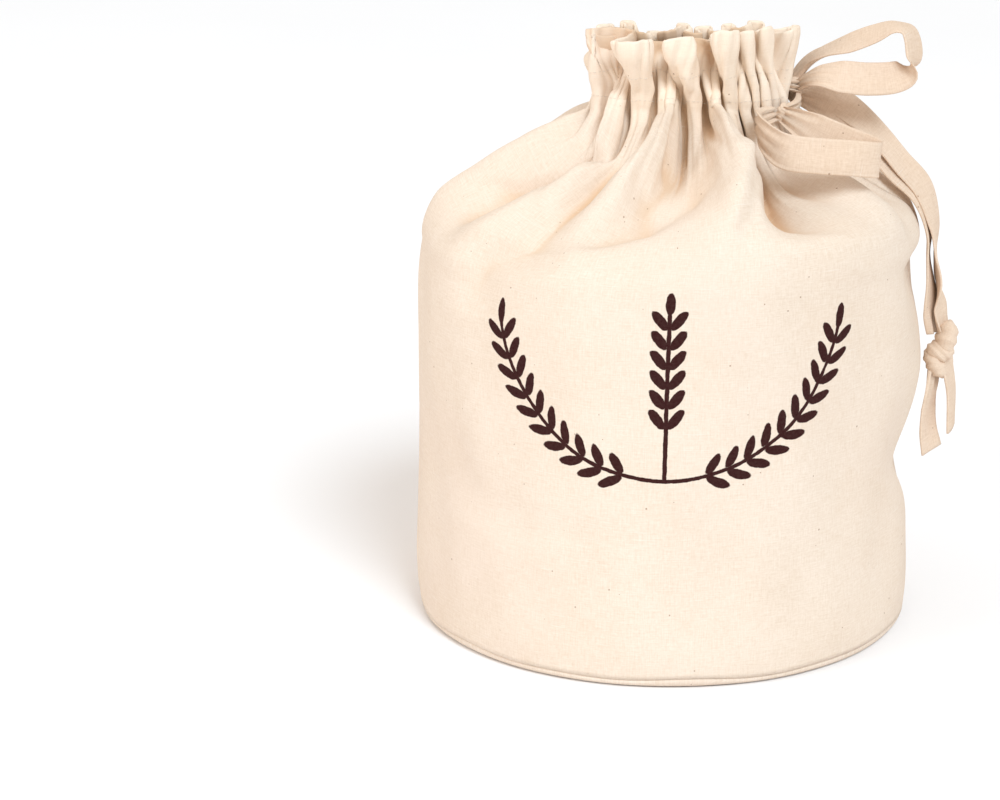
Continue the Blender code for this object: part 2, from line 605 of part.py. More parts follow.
def edges_round(cells):
    """The directed edges that only one cell has."""
    directed = {(cell[i], cell[(i + 1) % len(cell)]) for cell in cells for i in range(len(cell))}
    return [edge for edge in directed if edge[::-1] not in directed]


def new_material(name, colour):
    material = bpy.data.materials.new(name)
    material.use_nodes = True
    shader = material.node_tree.nodes["Principled BSDF"]
    shader.inputs["Base Color"].default_value = colour
    shader.inputs["Roughness"].default_value = ROUGHNESS
    shader.inputs["Metallic"].default_value = 0.0
    material.diffuse_color = colour
    return material


def new_object(name, mesh, colour):
    made = bpy.data.objects.new(name, mesh)
    bpy.context.scene.collection.objects.link(made)
    if colour:
        mesh.materials.append(new_material(name + "_cloth", colour))
    mesh.shade_smooth()
    return made


def mesh_of(name, points, faces):
    """A mesh from points and faces, all of them facing out."""
    mesh = bpy.data.meshes.new(name)
    work = bmesh.new()
    corners = [work.verts.new(tuple(map(float, point))) for point in points]
    for face in faces:
        work.faces.new([corners[i] for i in face])
    bmesh.ops.recalc_face_normals(work, faces=work.faces)
    work.to_mesh(mesh)
    work.free()
    return mesh


def seam_gap(seam_u, up):
    """How far in u each panel stops short of a seam, for half of the gap between two pieces."""
    run = wall(seam_u + TINY_STEP, up) - wall(seam_u - TINY_STEP, up)
    gap = np.where(up > NECK_SEAM_LOW, NECK_SEAM_GAP, SEAM_GAP)
    return gap * TINY_STEP / np.linalg.norm(run, axis=-1)


def make_panel(name, first_u, last_u):
    """One wall panel: a sheet from side seam to side seam, notched at the right seam for the tape."""
    places, cells = panel_grid(first_u, last_u)
    u, up = places[:, 0].copy(), places[:, 1]
    at_first = np.isclose(u, first_u)
    at_last = np.isclose(u, last_u)
    u[at_first] += seam_gap(first_u, up[at_first])
    u[at_last] -= seam_gap(last_u, up[at_last])
    notched = (up > SLOT_LOW + TINY_STEP) & (up < SLOT_HIGH - TINY_STEP)
    aside = SLOT_WIDTH / 2 / girth(up) * np.clip(1 - np.abs(u - RIGHT_SEAM_U) / SLOT_REACH_U, 0, 1)
    u += np.where(notched, aside, 0) * (1 if first_u == RIGHT_SEAM_U else -1)
    outer, inner = cloth_sides(u, up)
    count = len(places)
    faces = [tuple(cell) for cell in cells]
    faces += [tuple(i + count for i in reversed(cell)) for cell in cells]
    faces += [(end, start, start + count, end + count) for start, end in edges_round(cells)]
    return new_object(name, mesh_of(name, np.concatenate([outer, inner]), faces), CANVAS_COLOUR)


def make_base():
    """The round base: a flat disc whose edge turns up to the wall's seam."""
    columns = 2 * BANDS[-1].columns
    u = np.arange(columns) / columns
    rims = [side - (0, 0, PIECE_GAP) for side in cloth_sides(u, np.zeros(columns))]
    rim = (rims[0] + rims[1])[:, :2] / 2
    rim_radius = np.linalg.norm(rim, axis=1, keepdims=True)

    def ring_of(row):
        return np.column_stack([rim * (1 - row.inset / rim_radius), np.full(columns, row.z)])

    rings = [ring_of(row) for row in BASE_UNDERSIDE] + rims + [ring_of(row) for row in BASE_INSIDE]
    points = np.concatenate(rings + [[(0, 0, 0), (0, 0, CLOTH_THICKNESS)]])
    last = (len(rings) - 1) * columns
    bottom, top = len(points) - 2, len(points) - 1
    faces = []
    for i in range(columns):
        j = (i + 1) % columns
        faces += [(bottom, j, i), (top, last + i, last + j)]
        for low in range(0, last, columns):
            high = low + columns
            faces.append((low + i, low + j, high + j, high + i))
    return new_object("base", mesh_of("base", points, faces), CANVAS_COLOUR)


def smooth_run(rows):
    """Places along a tape's run, the way its width points there, and how much of it is open."""
    points = np.array([(row.x, row.y, row.z) + tuple(row.across) + (row.open,) for row in rows])
    padded = np.vstack([2 * points[0] - points[1], points, 2 * points[-1] - points[-2]])
    found = []
    for i in range(len(points) - 1):
        a, b, c, d = padded[i : i + 4]
        for step in range(RUN_STEPS):
            t = step / RUN_STEPS
            bend = 2 * a - 5 * b + 4 * c - d + t * (3 * (b - c) + d - a)
            found.append(b + 0.5 * t * (c - a + t * bend))
    found.append(points[-1])
    found = np.array(found)
    return found[:, :3], found[:, 3:6], found[:, 6]


def make_ribbon(name, rows):
    """A flat tape swept along its run."""
    path, across, share = smooth_run(rows)
    along = unit(np.gradient(path, axis=0))
    across = unit(across - (across * along).sum(axis=1, keepdims=True) * along)
    half_wide = across * share[:, None] * TAPE_WIDTH / 2
    half_thick = np.cross(along, across) * TAPE_THICKNESS / 2
    corners = ((-1, -1), (1, -1), (1, 1), (-1, 1))
    rings = [path + side * half_wide + face * half_thick for side, face in corners]
    points = np.stack(rings, axis=1).reshape(-1, 3)
    faces = [(3, 2, 1, 0), tuple(len(points) - 4 + i for i in range(4))]
    for ring in range(len(path) - 1):
        for i in range(4):
            j = (i + 1) % 4
            faces.append((4 * ring + i, 4 * ring + j, 4 * ring + 4 + j, 4 * ring + 4 + i))
    return new_object(name, mesh_of(name, points, faces), None)


def make_lobe(name, lobe):
    """One rounded lobe of a knot."""
    points = [(0, 0, -1)]
    for ring in range(1, LOBE_RINGS):
        tilt = math.pi * ring / LOBE_RINGS
        for side in range(LOBE_SIDES):
            turn = 2 * math.pi * side / LOBE_SIDES
            points.append((math.sin(tilt) * math.cos(turn), math.sin(tilt) * math.sin(turn), -math.cos(tilt)))
    points.append((0, 0, 1))
    points = np.array(points) * (lobe.half_x, lobe.half_y, lobe.half_z)
    cos, sin = math.cos(lobe.lean), math.sin(lobe.lean)
    x = points[:, 0] * cos + points[:, 2] * sin
    z = points[:, 2] * cos - points[:, 0] * sin
    points = np.column_stack([x, points[:, 1], z]) + (lobe.x, lobe.y, lobe.z)
    faces = []
    top = len(points) - 1
    for side in range(LOBE_SIDES):
        following = (side + 1) % LOBE_SIDES
        faces.append((0, 1 + following, 1 + side))
        last = 1 + (LOBE_RINGS - 2) * LOBE_SIDES
        faces.append((top, last + side, last + following))
        for ring in range(LOBE_RINGS - 2):
            low = 1 + ring * LOBE_SIDES
            high = low + LOBE_SIDES
            faces.append((low + side, low + following, high + following, high + side))
    return new_object(name, mesh_of(name, points, faces), None)


def make_drawstring():
    """The tape, one solid: a bow at the neck, its two tails, the knot that joins them and the free ends."""
    tape = make_lobe("drawstring", BOW_KNOT[0])
    runs = {
        "slot_stub": SLOT_STUB,
        "upper_loop": UPPER_LOOP,
        "neck_run": NECK_RUN,
        "front_loop": FRONT_LOOP,
        "tail_inner": TAIL_INNER,
        "tail_outer": TAIL_OUTER,
        "left_end": LEFT_END,
        "right_end": RIGHT_END,
    }
    pieces = [make_ribbon(name, rows) for name, rows in runs.items()]
    pieces += [make_lobe(f"knot_lobe_{i}", lobe) for i, lobe in enumerate(BOW_KNOT[1:] + TAIL_KNOT)]
    tape.data.materials.append(new_material("drawstring_cloth", TAPE_COLOUR))
    for piece in pieces:
        piece.hide_render = True
        piece.display_type = "WIRE"
        joined = tape.modifiers.new("join_" + piece.name, "BOOLEAN")
        joined.operation = "UNION"
        joined.object = piece
    return tape


def main():
    for old in list(bpy.data.objects):
        bpy.data.objects.remove(old, do_unlink=True)
    make_panel("panel_front", LEFT_SEAM_U, RIGHT_SEAM_U)
    make_panel("panel_back", RIGHT_SEAM_U, LEFT_SEAM_U + 1)
    make_base()
    make_drawstring()


main()
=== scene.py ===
"""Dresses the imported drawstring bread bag: its canvas, its tied tape, the print, the stage and the camera.

Metres, +Z up. A place on the wall is (u, up): u runs once round the cloth, 0 at the middle of the front
and 0.25 at the right-hand side seam, and up is the height along the cloth from the base seam.
"""

import math
from collections import namedtuple

import bpy
import numpy as np
from bpy.props import FloatProperty, FloatVectorProperty, PointerProperty
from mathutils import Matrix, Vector


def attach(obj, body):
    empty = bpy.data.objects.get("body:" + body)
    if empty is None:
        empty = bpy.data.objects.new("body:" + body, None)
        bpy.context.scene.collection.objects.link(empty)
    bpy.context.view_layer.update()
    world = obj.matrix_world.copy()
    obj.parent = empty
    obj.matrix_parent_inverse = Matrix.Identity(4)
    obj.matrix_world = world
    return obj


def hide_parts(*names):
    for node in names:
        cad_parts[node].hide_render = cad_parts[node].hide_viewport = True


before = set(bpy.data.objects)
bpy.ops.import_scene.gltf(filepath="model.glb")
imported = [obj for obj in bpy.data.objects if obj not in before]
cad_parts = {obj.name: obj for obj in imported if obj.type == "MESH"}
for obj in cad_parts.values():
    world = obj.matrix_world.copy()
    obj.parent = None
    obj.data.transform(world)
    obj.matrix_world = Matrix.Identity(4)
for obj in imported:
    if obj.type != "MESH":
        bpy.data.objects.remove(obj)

bl_info = {
    "name": "Drawstring bread bag",
    "version": (1, 0, 0),
    "blender": (4, 5, 0),
    "location": "3D View > Sidebar > Bread bag",
    "description": "Makes the canvas, the tied tape, the print and the stage of a drawstring bread bag",
    "category": "Object",
}

BASE_SEAM_HEIGHT = 0.0050
BASE_SEAM_WAVE = 0.0006
BASE_SEAM_FADE = 0.012
CUT_HEIGHT = 0.375
CUT_ROUND = 0.880
LEFT_SEAM_U = -0.25
SLOT_LOW = 0.3380
SLOT_HIGH = 0.3560
TAPE_WIDTH = 0.019
TAPE_THICKNESS = 0.0016

# The wall, a row per level: height along the cloth, height above the floor, half width, half depth,
# how far the outline is a flat-sided neck instead of a circle, and how far its middle lies to the right.
Level = namedtuple("Level", "up z half_width half_depth necked shift")
LEVELS = (
    Level(0.000, BASE_SEAM_HEIGHT, 0.1368, 0.1395, 0.00, 0.000),
    Level(0.014, 0.0185, 0.1378, 0.1406, 0.00, 0.000),
    Level(0.060, 0.0640, 0.1368, 0.1395, 0.00, 0.000),
    Level(0.120, 0.1240, 0.1378, 0.1397, 0.00, 0.001),
    Level(0.180, 0.1840, 0.1388, 0.1400, 0.00, 0.002),
    Level(0.210, 0.2130, 0.1370, 0.1390, 0.00, 0.003),
    Level(0.232, 0.2310, 0.1275, 0.1320, 0.00, 0.006),
    Level(0.256, 0.2430, 0.1070, 0.1100, 0.10, 0.009),
    Level(0.286, 0.2570, 0.0820, 0.0800, 0.35, 0.011),
    Level(0.310, 0.2700, 0.0620, 0.0530, 0.65, 0.013),
    Level(0.326, 0.2810, 0.0525, 0.0290, 0.90, 0.013),
    Level(0.335, 0.2890, 0.0495, 0.0215, 1.00, 0.012),
    Level(0.347, 0.3000, 0.0480, 0.0190, 1.00, 0.012),
    Level(0.358, 0.3105, 0.0480, 0.0195, 1.00, 0.011),
    Level(CUT_HEIGHT, 0.3265, 0.0485, 0.0200, 1.00, 0.010),
)
# The base seam's small waves, once round.
Wave = namedtuple("Wave", "count turn share")
BASE_SEAM_WAVES = (Wave(7, 1.0, 1.0), Wave(12, 0.0, 0.7))
NECK_STRAIGHT = 0.029
NECK_END_RADIUS = 0.020
RUFFLE_TILT = 0.0022

# The gathers at the neck, a row per pleat that stands out: where it is on the casing and at the top edge,
# how much higher the edge is there, how deep the pleat is beside the others, and how much higher it is
# pinched.
Pleat = namedtuple("Pleat", "casing_u top_u rise depth pinch")
PLEATS = (
    Pleat(-0.208, -0.224, 0.0020, 1.10, -0.0060),
    Pleat(-0.112, -0.122, -0.0040, 1.25, 0.0010),
    Pleat(0.010, -0.026, -0.0020, 1.20, -0.0010),
    Pleat(0.094, 0.084, 0.0010, 1.20, 0.0010),
    Pleat(0.148, 0.130, 0.0025, 0.75, 0.0040),
    Pleat(0.190, 0.172, 0.0015, 0.85, 0.0020),
    Pleat(0.240, 0.236, 0.0028, 1.10, -0.0030),
    Pleat(0.290, 0.296, -0.0015, 0.90, 0.0010),
    Pleat(0.343, 0.350, 0.0015, 1.10, -0.0020),
    Pleat(0.396, 0.410, 0.0030, 0.80, 0.0030),
    Pleat(0.455, 0.462, -0.0010, 1.10, 0.0000),
    Pleat(0.515, 0.508, 0.0022, 0.90, 0.0020),
    Pleat(0.567, 0.575, -0.0025, 1.10, -0.0030),
    Pleat(0.622, 0.634, 0.0012, 0.80, 0.0020),
    Pleat(0.676, 0.680, 0.0025, 1.10, -0.0010),
    Pleat(0.732, 0.728, -0.0015, 0.90, 0.0020),
)
USUAL_PITCH = 0.0151

# How deep the gathers are, a row per level: the wide pleats, which stand out above the casing where they
# fall back below it, how broad they are there, and the fine pleats, which are deepest on the casing.
Gather = namedtuple("Gather", "up wide breadth fine")
GATHERS = (
    Gather(0.222, 0.0000, -0.30, 0.0000),
    Gather(0.256, -0.0012, -0.30, 0.0000),
    Gather(0.280, -0.0030, -0.25, 0.0000),
    Gather(0.300, -0.0044, -0.10, 0.0006),
    Gather(0.315, -0.0042, 0.15, 0.0018),
    Gather(0.327, -0.0027, 0.30, 0.0032),
    Gather(0.337, -0.0010, 0.20, 0.0042),
    Gather(0.345, 0.0008, -0.20, 0.0040),
    Gather(0.352, 0.0034, -0.10, 0.0028),
    Gather(0.360, 0.0062, 0.20, 0.0012),
    Gather(0.368, 0.0084, 0.40, 0.0003),
    Gather(CUT_HEIGHT, 0.0090, 0.50, 0.0000),
)
PITCH_SHARE_LEAST, PITCH_SHARE_MOST = 0.75, 1.35
FINE_OFFSET, FINE_DRIFT, FINE_DRIFT_TURNS = 0.15, 0.35, 3
FOLD_CRISPNESS = 1.7
FOLD_END_FADE = 0.008
LEVEL_FOLD_GIRTH = 0.6

# The folds of the shoulder and the wall, a row per section along each: where it is, how far it stands
# out (a valley is less than 0), and how wide it is towards lower and higher u, or below and above where
# the fold runs level.
Section = namedtuple("Section", "up u height lower higher")
FOLDS = {
    "left_roll": (
        Section(0.330, -0.205, 0.002, 0.010, 0.006),
        Section(0.304, -0.222, 0.009, 0.018, 0.010),
        Section(0.268, -0.238, 0.012, 0.026, 0.012),
        Section(0.234, -0.246, 0.008, 0.032, 0.016),
        Section(0.208, -0.250, 0.000, 0.030, 0.018),
    ),
    "left_back_flap": (
        Section(0.366, -0.274, 0.001, 0.003, 0.003),
        Section(0.359, -0.272, 0.006, 0.004, 0.003),
        Section(0.350, -0.270, 0.004, 0.004, 0.003),
    ),
    "left_valley": (
        Section(0.330, -0.140, -0.005, 0.005, 0.006),
        Section(0.314, -0.152, -0.014, 0.006, 0.009),
        Section(0.292, -0.178, -0.019, 0.007, 0.014),
        Section(0.266, -0.193, -0.015, 0.009, 0.020),
        Section(0.240, -0.194, -0.007, 0.014, 0.024),
        Section(0.214, -0.186, 0.000, 0.018, 0.024),
    ),
    "left_broad_ridge": (
        Section(0.318, -0.118, 0.004, 0.010, 0.010),
        Section(0.290, -0.136, 0.008, 0.014, 0.014),
        Section(0.258, -0.144, 0.009, 0.018, 0.016),
        Section(0.228, -0.152, 0.005, 0.022, 0.018),
        Section(0.202, -0.160, 0.000, 0.024, 0.020),
    ),
    "front_left_valley": (
        Section(0.306, -0.104, -0.004, 0.008, 0.012),
        Section(0.274, -0.108, -0.010, 0.010, 0.018),
        Section(0.242, -0.106, -0.011, 0.012, 0.022),
        Section(0.216, -0.128, -0.008, 0.014, 0.026),
        Section(0.186, -0.142, 0.000, 0.018, 0.026),
    ),
    "front_left_ridge": (
        Section(0.322, -0.072, 0.005, 0.012, 0.009),
        Section(0.296, -0.070, 0.010, 0.018, 0.012),
        Section(0.264, -0.074, 0.011, 0.024, 0.018),
        Section(0.236, -0.082, 0.004, 0.028, 0.024),
    ),
    "front_valley": (
        Section(0.334, -0.016, -0.003, 0.003, 0.004),
        Section(0.320, -0.022, -0.013, 0.005, 0.006),
        Section(0.300, -0.028, -0.015, 0.008, 0.012),
        Section(0.276, -0.044, -0.013, 0.013, 0.022),
        Section(0.248, -0.058, -0.008, 0.018, 0.032),
        Section(0.222, -0.060, 0.000, 0.024, 0.032),
    ),
    "casing_slit": (
        Section(0.350, 0.020, -0.002, 0.002, 0.003),
        Section(0.338, 0.022, -0.007, 0.003, 0.004),
        Section(0.322, 0.014, -0.006, 0.004, 0.005),
        Section(0.306, 0.004, 0.000, 0.005, 0.006),
    ),
    "front_right_ridge": (
        Section(0.330, 0.044, 0.003, 0.010, 0.010),
        Section(0.308, 0.052, 0.009, 0.014, 0.012),
        Section(0.280, 0.046, 0.012, 0.024, 0.016),
        Section(0.254, 0.034, 0.008, 0.028, 0.018),
        Section(0.234, 0.028, 0.000, 0.030, 0.020),
    ),
    "sharp_crease": (
        Section(0.338, 0.078, 0.002, 0.006, 0.003),
        Section(0.322, 0.088, 0.006, 0.010, 0.003),
        Section(0.306, 0.094, 0.009, 0.014, 0.003),
        Section(0.286, 0.080, 0.010, 0.016, 0.0035),
        Section(0.264, 0.064, 0.008, 0.018, 0.004),
        Section(0.246, 0.056, 0.001, 0.020, 0.006),
    ),
    "crease_recess": (
        Section(0.332, 0.102, -0.006, 0.004, 0.008),
        Section(0.314, 0.114, -0.015, 0.005, 0.014),
        Section(0.294, 0.108, -0.018, 0.006, 0.022),
        Section(0.268, 0.088, -0.013, 0.007, 0.030),
        Section(0.246, 0.080, -0.003, 0.010, 0.034),
    ),
    "right_lobe": (
        Section(0.300, 0.192, 0.003, 0.012, 0.012),
        Section(0.274, 0.178, 0.010, 0.020, 0.020),
        Section(0.248, 0.170, 0.010, 0.028, 0.026),
        Section(0.222, 0.162, 0.002, 0.030, 0.030),
    ),
    "right_side_valley": (
        Section(0.316, 0.224, -0.004, 0.008, 0.010),
        Section(0.286, 0.222, -0.010, 0.010, 0.012),
        Section(0.254, 0.216, -0.008, 0.012, 0.016),
        Section(0.226, 0.208, -0.002, 0.016, 0.018),
    ),
    "shoulder_ledge_left": (
        Section(0.236, -0.070, 0.003, 0.014, 0.007),
        Section(0.243, -0.036, 0.004, 0.014, 0.007),
        Section(0.260, 0.010, 0.002, 0.014, 0.008),
    ),
    "shoulder_ledge_right": (
        Section(0.266, 0.045, 0.004, 0.014, 0.008),
        Section(0.248, 0.080, 0.006, 0.016, 0.008),
        Section(0.231, 0.128, 0.005, 0.016, 0.009),
        Section(0.226, 0.175, 0.001, 0.016, 0.010),
    ),
    "back_left_ridge": (
        Section(0.318, 0.640, 0.004, 0.014, 0.012),
        Section(0.286, 0.652, 0.009, 0.022, 0.016),
        Section(0.254, 0.650, 0.007, 0.030, 0.024),
        Section(0.226, 0.655, 0.000, 0.034, 0.028),
    ),
    "back_left_valley": (
        Section(0.322, 0.602, -0.006, 0.008, 0.008),
        Section(0.296, 0.606, -0.011, 0.012, 0.012),
        Section(0.262, 0.598, -0.008, 0.018, 0.018),
        Section(0.230, 0.590, -0.003, 0.024, 0.022),
        Section(0.205, 0.585, 0.000, 0.024, 0.022),
    ),
    "back_middle_ridge": (
        Section(0.316, 0.555, 0.004, 0.014, 0.012),
        Section(0.284, 0.545, 0.008, 0.024, 0.020),
        Section(0.250, 0.540, 0.004, 0.030, 0.026),
    ),
    "back_middle_valley": (
        Section(0.324, 0.480, -0.005, 0.006, 0.008),
        Section(0.300, 0.476, -0.011, 0.010, 0.012),
        Section(0.268, 0.468, -0.009, 0.016, 0.020),
        Section(0.236, 0.455, -0.004, 0.022, 0.026),
        Section(0.212, 0.450, 0.000, 0.024, 0.026),
    ),
    "back_right_ridge": (
        Section(0.314, 0.420, 0.003, 0.012, 0.012),
        Section(0.282, 0.414, 0.009, 0.022, 0.018),
        Section(0.248, 0.405, 0.006, 0.030, 0.024),
        Section(0.222, 0.400, 0.000, 0.030, 0.026),
    ),
    "back_right_valley": (
        Section(0.318, 0.362, -0.005, 0.008, 0.010),
        Section(0.290, 0.356, -0.011, 0.012, 0.014),
        Section(0.258, 0.350, -0.008, 0.018, 0.020),
        Section(0.228, 0.352, -0.002, 0.022, 0.022),
    ),
    "back_seam_ridge": (
        Section(0.310, 0.305, 0.003, 0.012, 0.012),
        Section(0.276, 0.302, 0.007, 0.020, 0.020),
        Section(0.240, 0.300, 0.004, 0.026, 0.026),
    ),
    "wall_dent_high": (
        Section(0.207, 0.168, -0.001, 0.020, 0.010),
        Section(0.200, 0.205, -0.007, 0.022, 0.010),
        Section(0.1965, 0.242, -0.010, 0.024, 0.011),
        Section(0.194, 0.285, -0.002, 0.024, 0.014),
    ),
    "wall_swell": (
        Section(0.142, 0.190, 0.001, 0.020, 0.020),
        Section(0.138, 0.240, 0.003, 0.022, 0.020),
        Section(0.134, 0.290, 0.001, 0.020, 0.020),
    ),
    "wall_dent_low": (
        Section(0.110, 0.160, -0.001, 0.014, 0.020),
        Section(0.092, 0.205, -0.008, 0.014, 0.024),
        Section(0.084, 0.245, -0.011, 0.015, 0.026),
        Section(0.080, 0.290, -0.003, 0.018, 0.026),
    ),
    "wall_valley_left": (
        Section(0.124, -0.160, -0.001, 0.020, 0.024),
        Section(0.094, -0.140, -0.003, 0.020, 0.024),
        Section(0.074, -0.100, -0.002, 0.020, 0.024),
    ),
    "wall_valley_back": (
        Section(0.190, 0.560, -0.001, 0.026, 0.026),
        Section(0.130, 0.530, -0.004, 0.030, 0.030),
        Section(0.080, 0.480, -0.002, 0.030, 0.030),
    ),
}

# The tape's runs, a row per point: place, the way its width points, and how much of the width is open.
Point = namedtuple("Point", "x y z across open", defaults=(1.0,))
UPPER_LOOP = (
    Point(0.0675, 0.0190, 0.2940, (-0.20, 0.75, 0.60), 0.35),
    Point(0.0700, 0.0182, 0.3000, (-0.30, 0.85, 0.35), 0.40),
    Point(0.0762, 0.0160, 0.3085, (-0.20, 0.92, 0.20), 0.60),
    Point(0.0846, 0.0120, 0.3146, (-0.10, 0.93, 0.15), 0.85),
    Point(0.0981, 0.0070, 0.3203, (-0.10, 0.90, 0.25)),
    Point(0.1106, 0.0030, 0.3260, (-0.10, 0.90, 0.25)),
    Point(0.1211, 0.0005, 0.3304, (0.00, 0.95, 0.15)),
    Point(0.1291, -0.0010, 0.3286, (0.40, 0.85, 0.10)),
    Point(0.1321, -0.0025, 0.3185, (0.55, 0.80, 0.05)),
    Point(0.1307, -0.0045, 0.3090, (0.30, 0.75, 0.50)),
    Point(0.1221, -0.0060, 0.3043, (-0.10, 0.60, 0.75)),
    Point(0.1076, -0.0065, 0.3031, (-0.10, 0.50, 0.85)),
    Point(0.0937, -0.0050, 0.3038, (-0.10, 0.55, 0.80)),
    Point(0.0830, -0.0020, 0.3037, (-0.20, 0.80, 0.60), 0.80),
    Point(0.0755, 0.0030, 0.3005, (-0.20, 0.85, 0.50), 0.50),
    Point(0.0710, 0.0085, 0.2965, (-0.20, 0.75, 0.60), 0.35),
    Point(0.0685, 0.0125, 0.2935, (-0.20, 0.75, 0.60), 0.35),
)
NECK_RUN = (
    Point(0.0670, 0.0150, 0.2920, (0.0, 0.2, 0.9), 0.35),
    Point(0.0695, 0.0030, 0.2900, (0.0, 0.2, 0.9), 0.35),
    Point(0.0685, -0.0115, 0.2885, (0.0, 0.2, 0.9), 0.35),
    Point(0.0615, -0.0250, 0.2880, (0.0, 0.2, 0.9), 0.35),
)
FRONT_LOOP = (
    Point(0.0605, -0.0265, 0.2880, (0.0, 0.30, 0.9), 0.4),
    Point(0.0680, -0.0320, 0.2850, (0.0, 0.35, 0.9), 0.7),
    Point(0.0790, -0.0385, 0.2805, (0.0, 0.35, 0.9)),
    Point(0.0930, -0.0455, 0.2760, (0.0, 0.30, 0.9)),
    Point(0.1050, -0.0520, 0.2725, (0.0, 0.25, 1.0)),
    Point(0.1115, -0.0590, 0.2705, (0.0, 0.20, 1.0)),
    Point(0.1085, -0.0665, 0.2715, (0.0, 0.10, 1.0)),
    Point(0.0960, -0.0715, 0.2735, (0.0, 0.10, 1.0)),
    Point(0.0800, -0.0725, 0.2745, (0.0, 0.10, 1.0)),
    Point(0.0640, -0.0715, 0.2760, (0.0, 0.15, 1.0)),
    Point(0.0554, -0.0648, 0.2793, (0.0, 0.25, 0.9), 0.9),
    Point(0.0494, -0.0524, 0.2840, (0.0, 0.40, 0.9), 0.75),
    Point(0.0490, -0.0390, 0.2870, (0.0, 0.40, 0.9), 0.6),
    Point(0.0570, -0.0290, 0.2885, (0.0, 0.30, 0.9), 0.45),
)
TAIL_INNER = (
    Point(0.0670, 0.0165, 0.2905, (0.0, 0.45, 0.9), 0.4),
    Point(0.0750, 0.0150, 0.2885, (0.1, 0.55, 0.85), 0.6),
    Point(0.0890, 0.0130, 0.2835, (0.2, 0.65, 0.75)),
    Point(0.1020, 0.0105, 0.2750, (0.3, 0.75, 0.6)),
    Point(0.1140, 0.0085, 0.2635, (0.35, 0.8, 0.5)),
    Point(0.1253, 0.0060, 0.2503, (0.35, 0.8, 0.4)),
    Point(0.1376, 0.0037, 0.2373, (0.35, 0.85, 0.3)),
    Point(0.1442, 0.0023, 0.2190, (0.25, 0.95, 0.15)),
    Point(0.1445, 0.0012, 0.2030, (0.1, 1.0, 0.0)),
    Point(0.1462, 0.0000, 0.1890, (0.25, 1.0, 0.0)),
    Point(0.1480, 0.0000, 0.1740, (0.6, 0.9, 0.0)),
    Point(0.1500, 0.0000, 0.1600, (0.7, 0.8, 0.0), 0.6),
)
TAIL_OUTER = (
    Point(0.0670, 0.0170, 0.2940, (0.0, 0.45, 0.9), 0.4),
    Point(0.0760, 0.0180, 0.2925, (0.1, 0.55, 0.85), 0.7),
    Point(0.0905, 0.0165, 0.2875, (0.2, 0.65, 0.75)),
    Point(0.1045, 0.0135, 0.2790, (0.3, 0.75, 0.6)),
    Point(0.1170, 0.0110, 0.2675, (0.35, 0.8, 0.5)),
    Point(0.1285, 0.0085, 0.2540, (0.35, 0.8, 0.4)),
    Point(0.1408, 0.0060, 0.2400, (0.35, 0.85, 0.3)),
    Point(0.1475, 0.0040, 0.2205, (0.25, 0.95, 0.15)),
    Point(0.1485, 0.0020, 0.2035, (0.05, 1.0, 0.0)),
    Point(0.1505, 0.0005, 0.1890, (-0.1, 1.0, 0.0)),
    Point(0.1522, 0.0010, 0.1740, (0.4, 0.9, 0.0)),
    Point(0.1545, 0.0010, 0.1600, (0.5, 0.8, 0.0), 0.6),
)
LEFT_END = (
    Point(0.1500, -0.0020, 0.1420, (0.6, 0.8, 0.0), 0.5),
    Point(0.1490, -0.0030, 0.1300, (0.5, 0.85, 0.0), 0.8),
    Point(0.1475, -0.0040, 0.1180, (0.45, 0.9, 0.0)),
    Point(0.1475, -0.0050, 0.1050, (0.5, 0.85, 0.0)),
    Point(0.1500, -0.0050, 0.0930, (0.6, 0.8, 0.0)),
)
RIGHT_END = (
    Point(0.1555, 0.0010, 0.1500, (0.4, 0.9, 0.0), 0.5),
    Point(0.1580, 0.0020, 0.1380, (0.35, 0.9, 0.0)),
    Point(0.1605, 0.0030, 0.1240, (0.30, 0.95, 0.0)),
    Point(0.1612, 0.0040, 0.1030, (0.30, 0.95, 0.0)),
)
SLOT_STUB = (
    Point(0.0565, 0.0002, 0.2990, (0.0, 0.0, 1.0), 0.35),
    Point(0.0645, 0.0003, 0.2985, (0.0, 0.0, 1.0), 0.35),
    Point(0.0690, 0.0040, 0.2970, (0.0, 0.2, 1.0), 0.38),
    Point(0.0695, 0.0100, 0.2950, (0.0, 0.3, 1.0), 0.38),
    Point(0.0675, 0.0155, 0.2935, (0.0, 0.3, 1.0), 0.4),
)

# The runs that make one piece, and where each one's small waves start.
Run = namedtuple("Run", "points seed")
LOOP_RUNS = (Run(SLOT_STUB, 0.3), Run(UPPER_LOOP, 1.0), Run(NECK_RUN, 1.9), Run(FRONT_LOOP, 2.6))
TAIL_RUNS = (Run(TAIL_INNER, 0.5), Run(TAIL_OUTER, 3.3), Run(LEFT_END, 1.2), Run(RIGHT_END, 4.0))

# Knots, a row per turn of tape round them: middle, the way the turn's axle points, the turn's half sizes,
# how wide the tape is bunched there, and where its creases start.
Turn = namedtuple("Turn", "x y z axle half_long half_short wide crease")
BOW_TURNS = (
    Turn(0.0672, 0.0165, 0.2932, (0.5, 0.2, 0.85), 0.0046, 0.0062, 0.012, 0.0),
    Turn(0.0682, 0.0150, 0.2940, (-0.3, 0.5, 0.8), 0.0042, 0.0058, 0.009, 1.7),
    Turn(0.0610, -0.0258, 0.2880, (0.3, 0.2, 0.9), 0.0028, 0.0034, 0.009, 3.1),
)
TAIL_TURNS = (
    Turn(0.1560, 0.0000, 0.1565, (0.25, 0.1, 1.0), 0.0060, 0.0085, 0.019, 0.4),
    Turn(0.1505, -0.0010, 0.1425, (-0.35, 0.2, 0.9), 0.0054, 0.0078, 0.016, 2.0),
    Turn(0.1530, -0.0005, 0.1495, (0.8, 0.2, 0.55), 0.0066, 0.0080, 0.012, 4.4),
)
TURN_SECTIONS = 40
TURN_ACROSS = 15
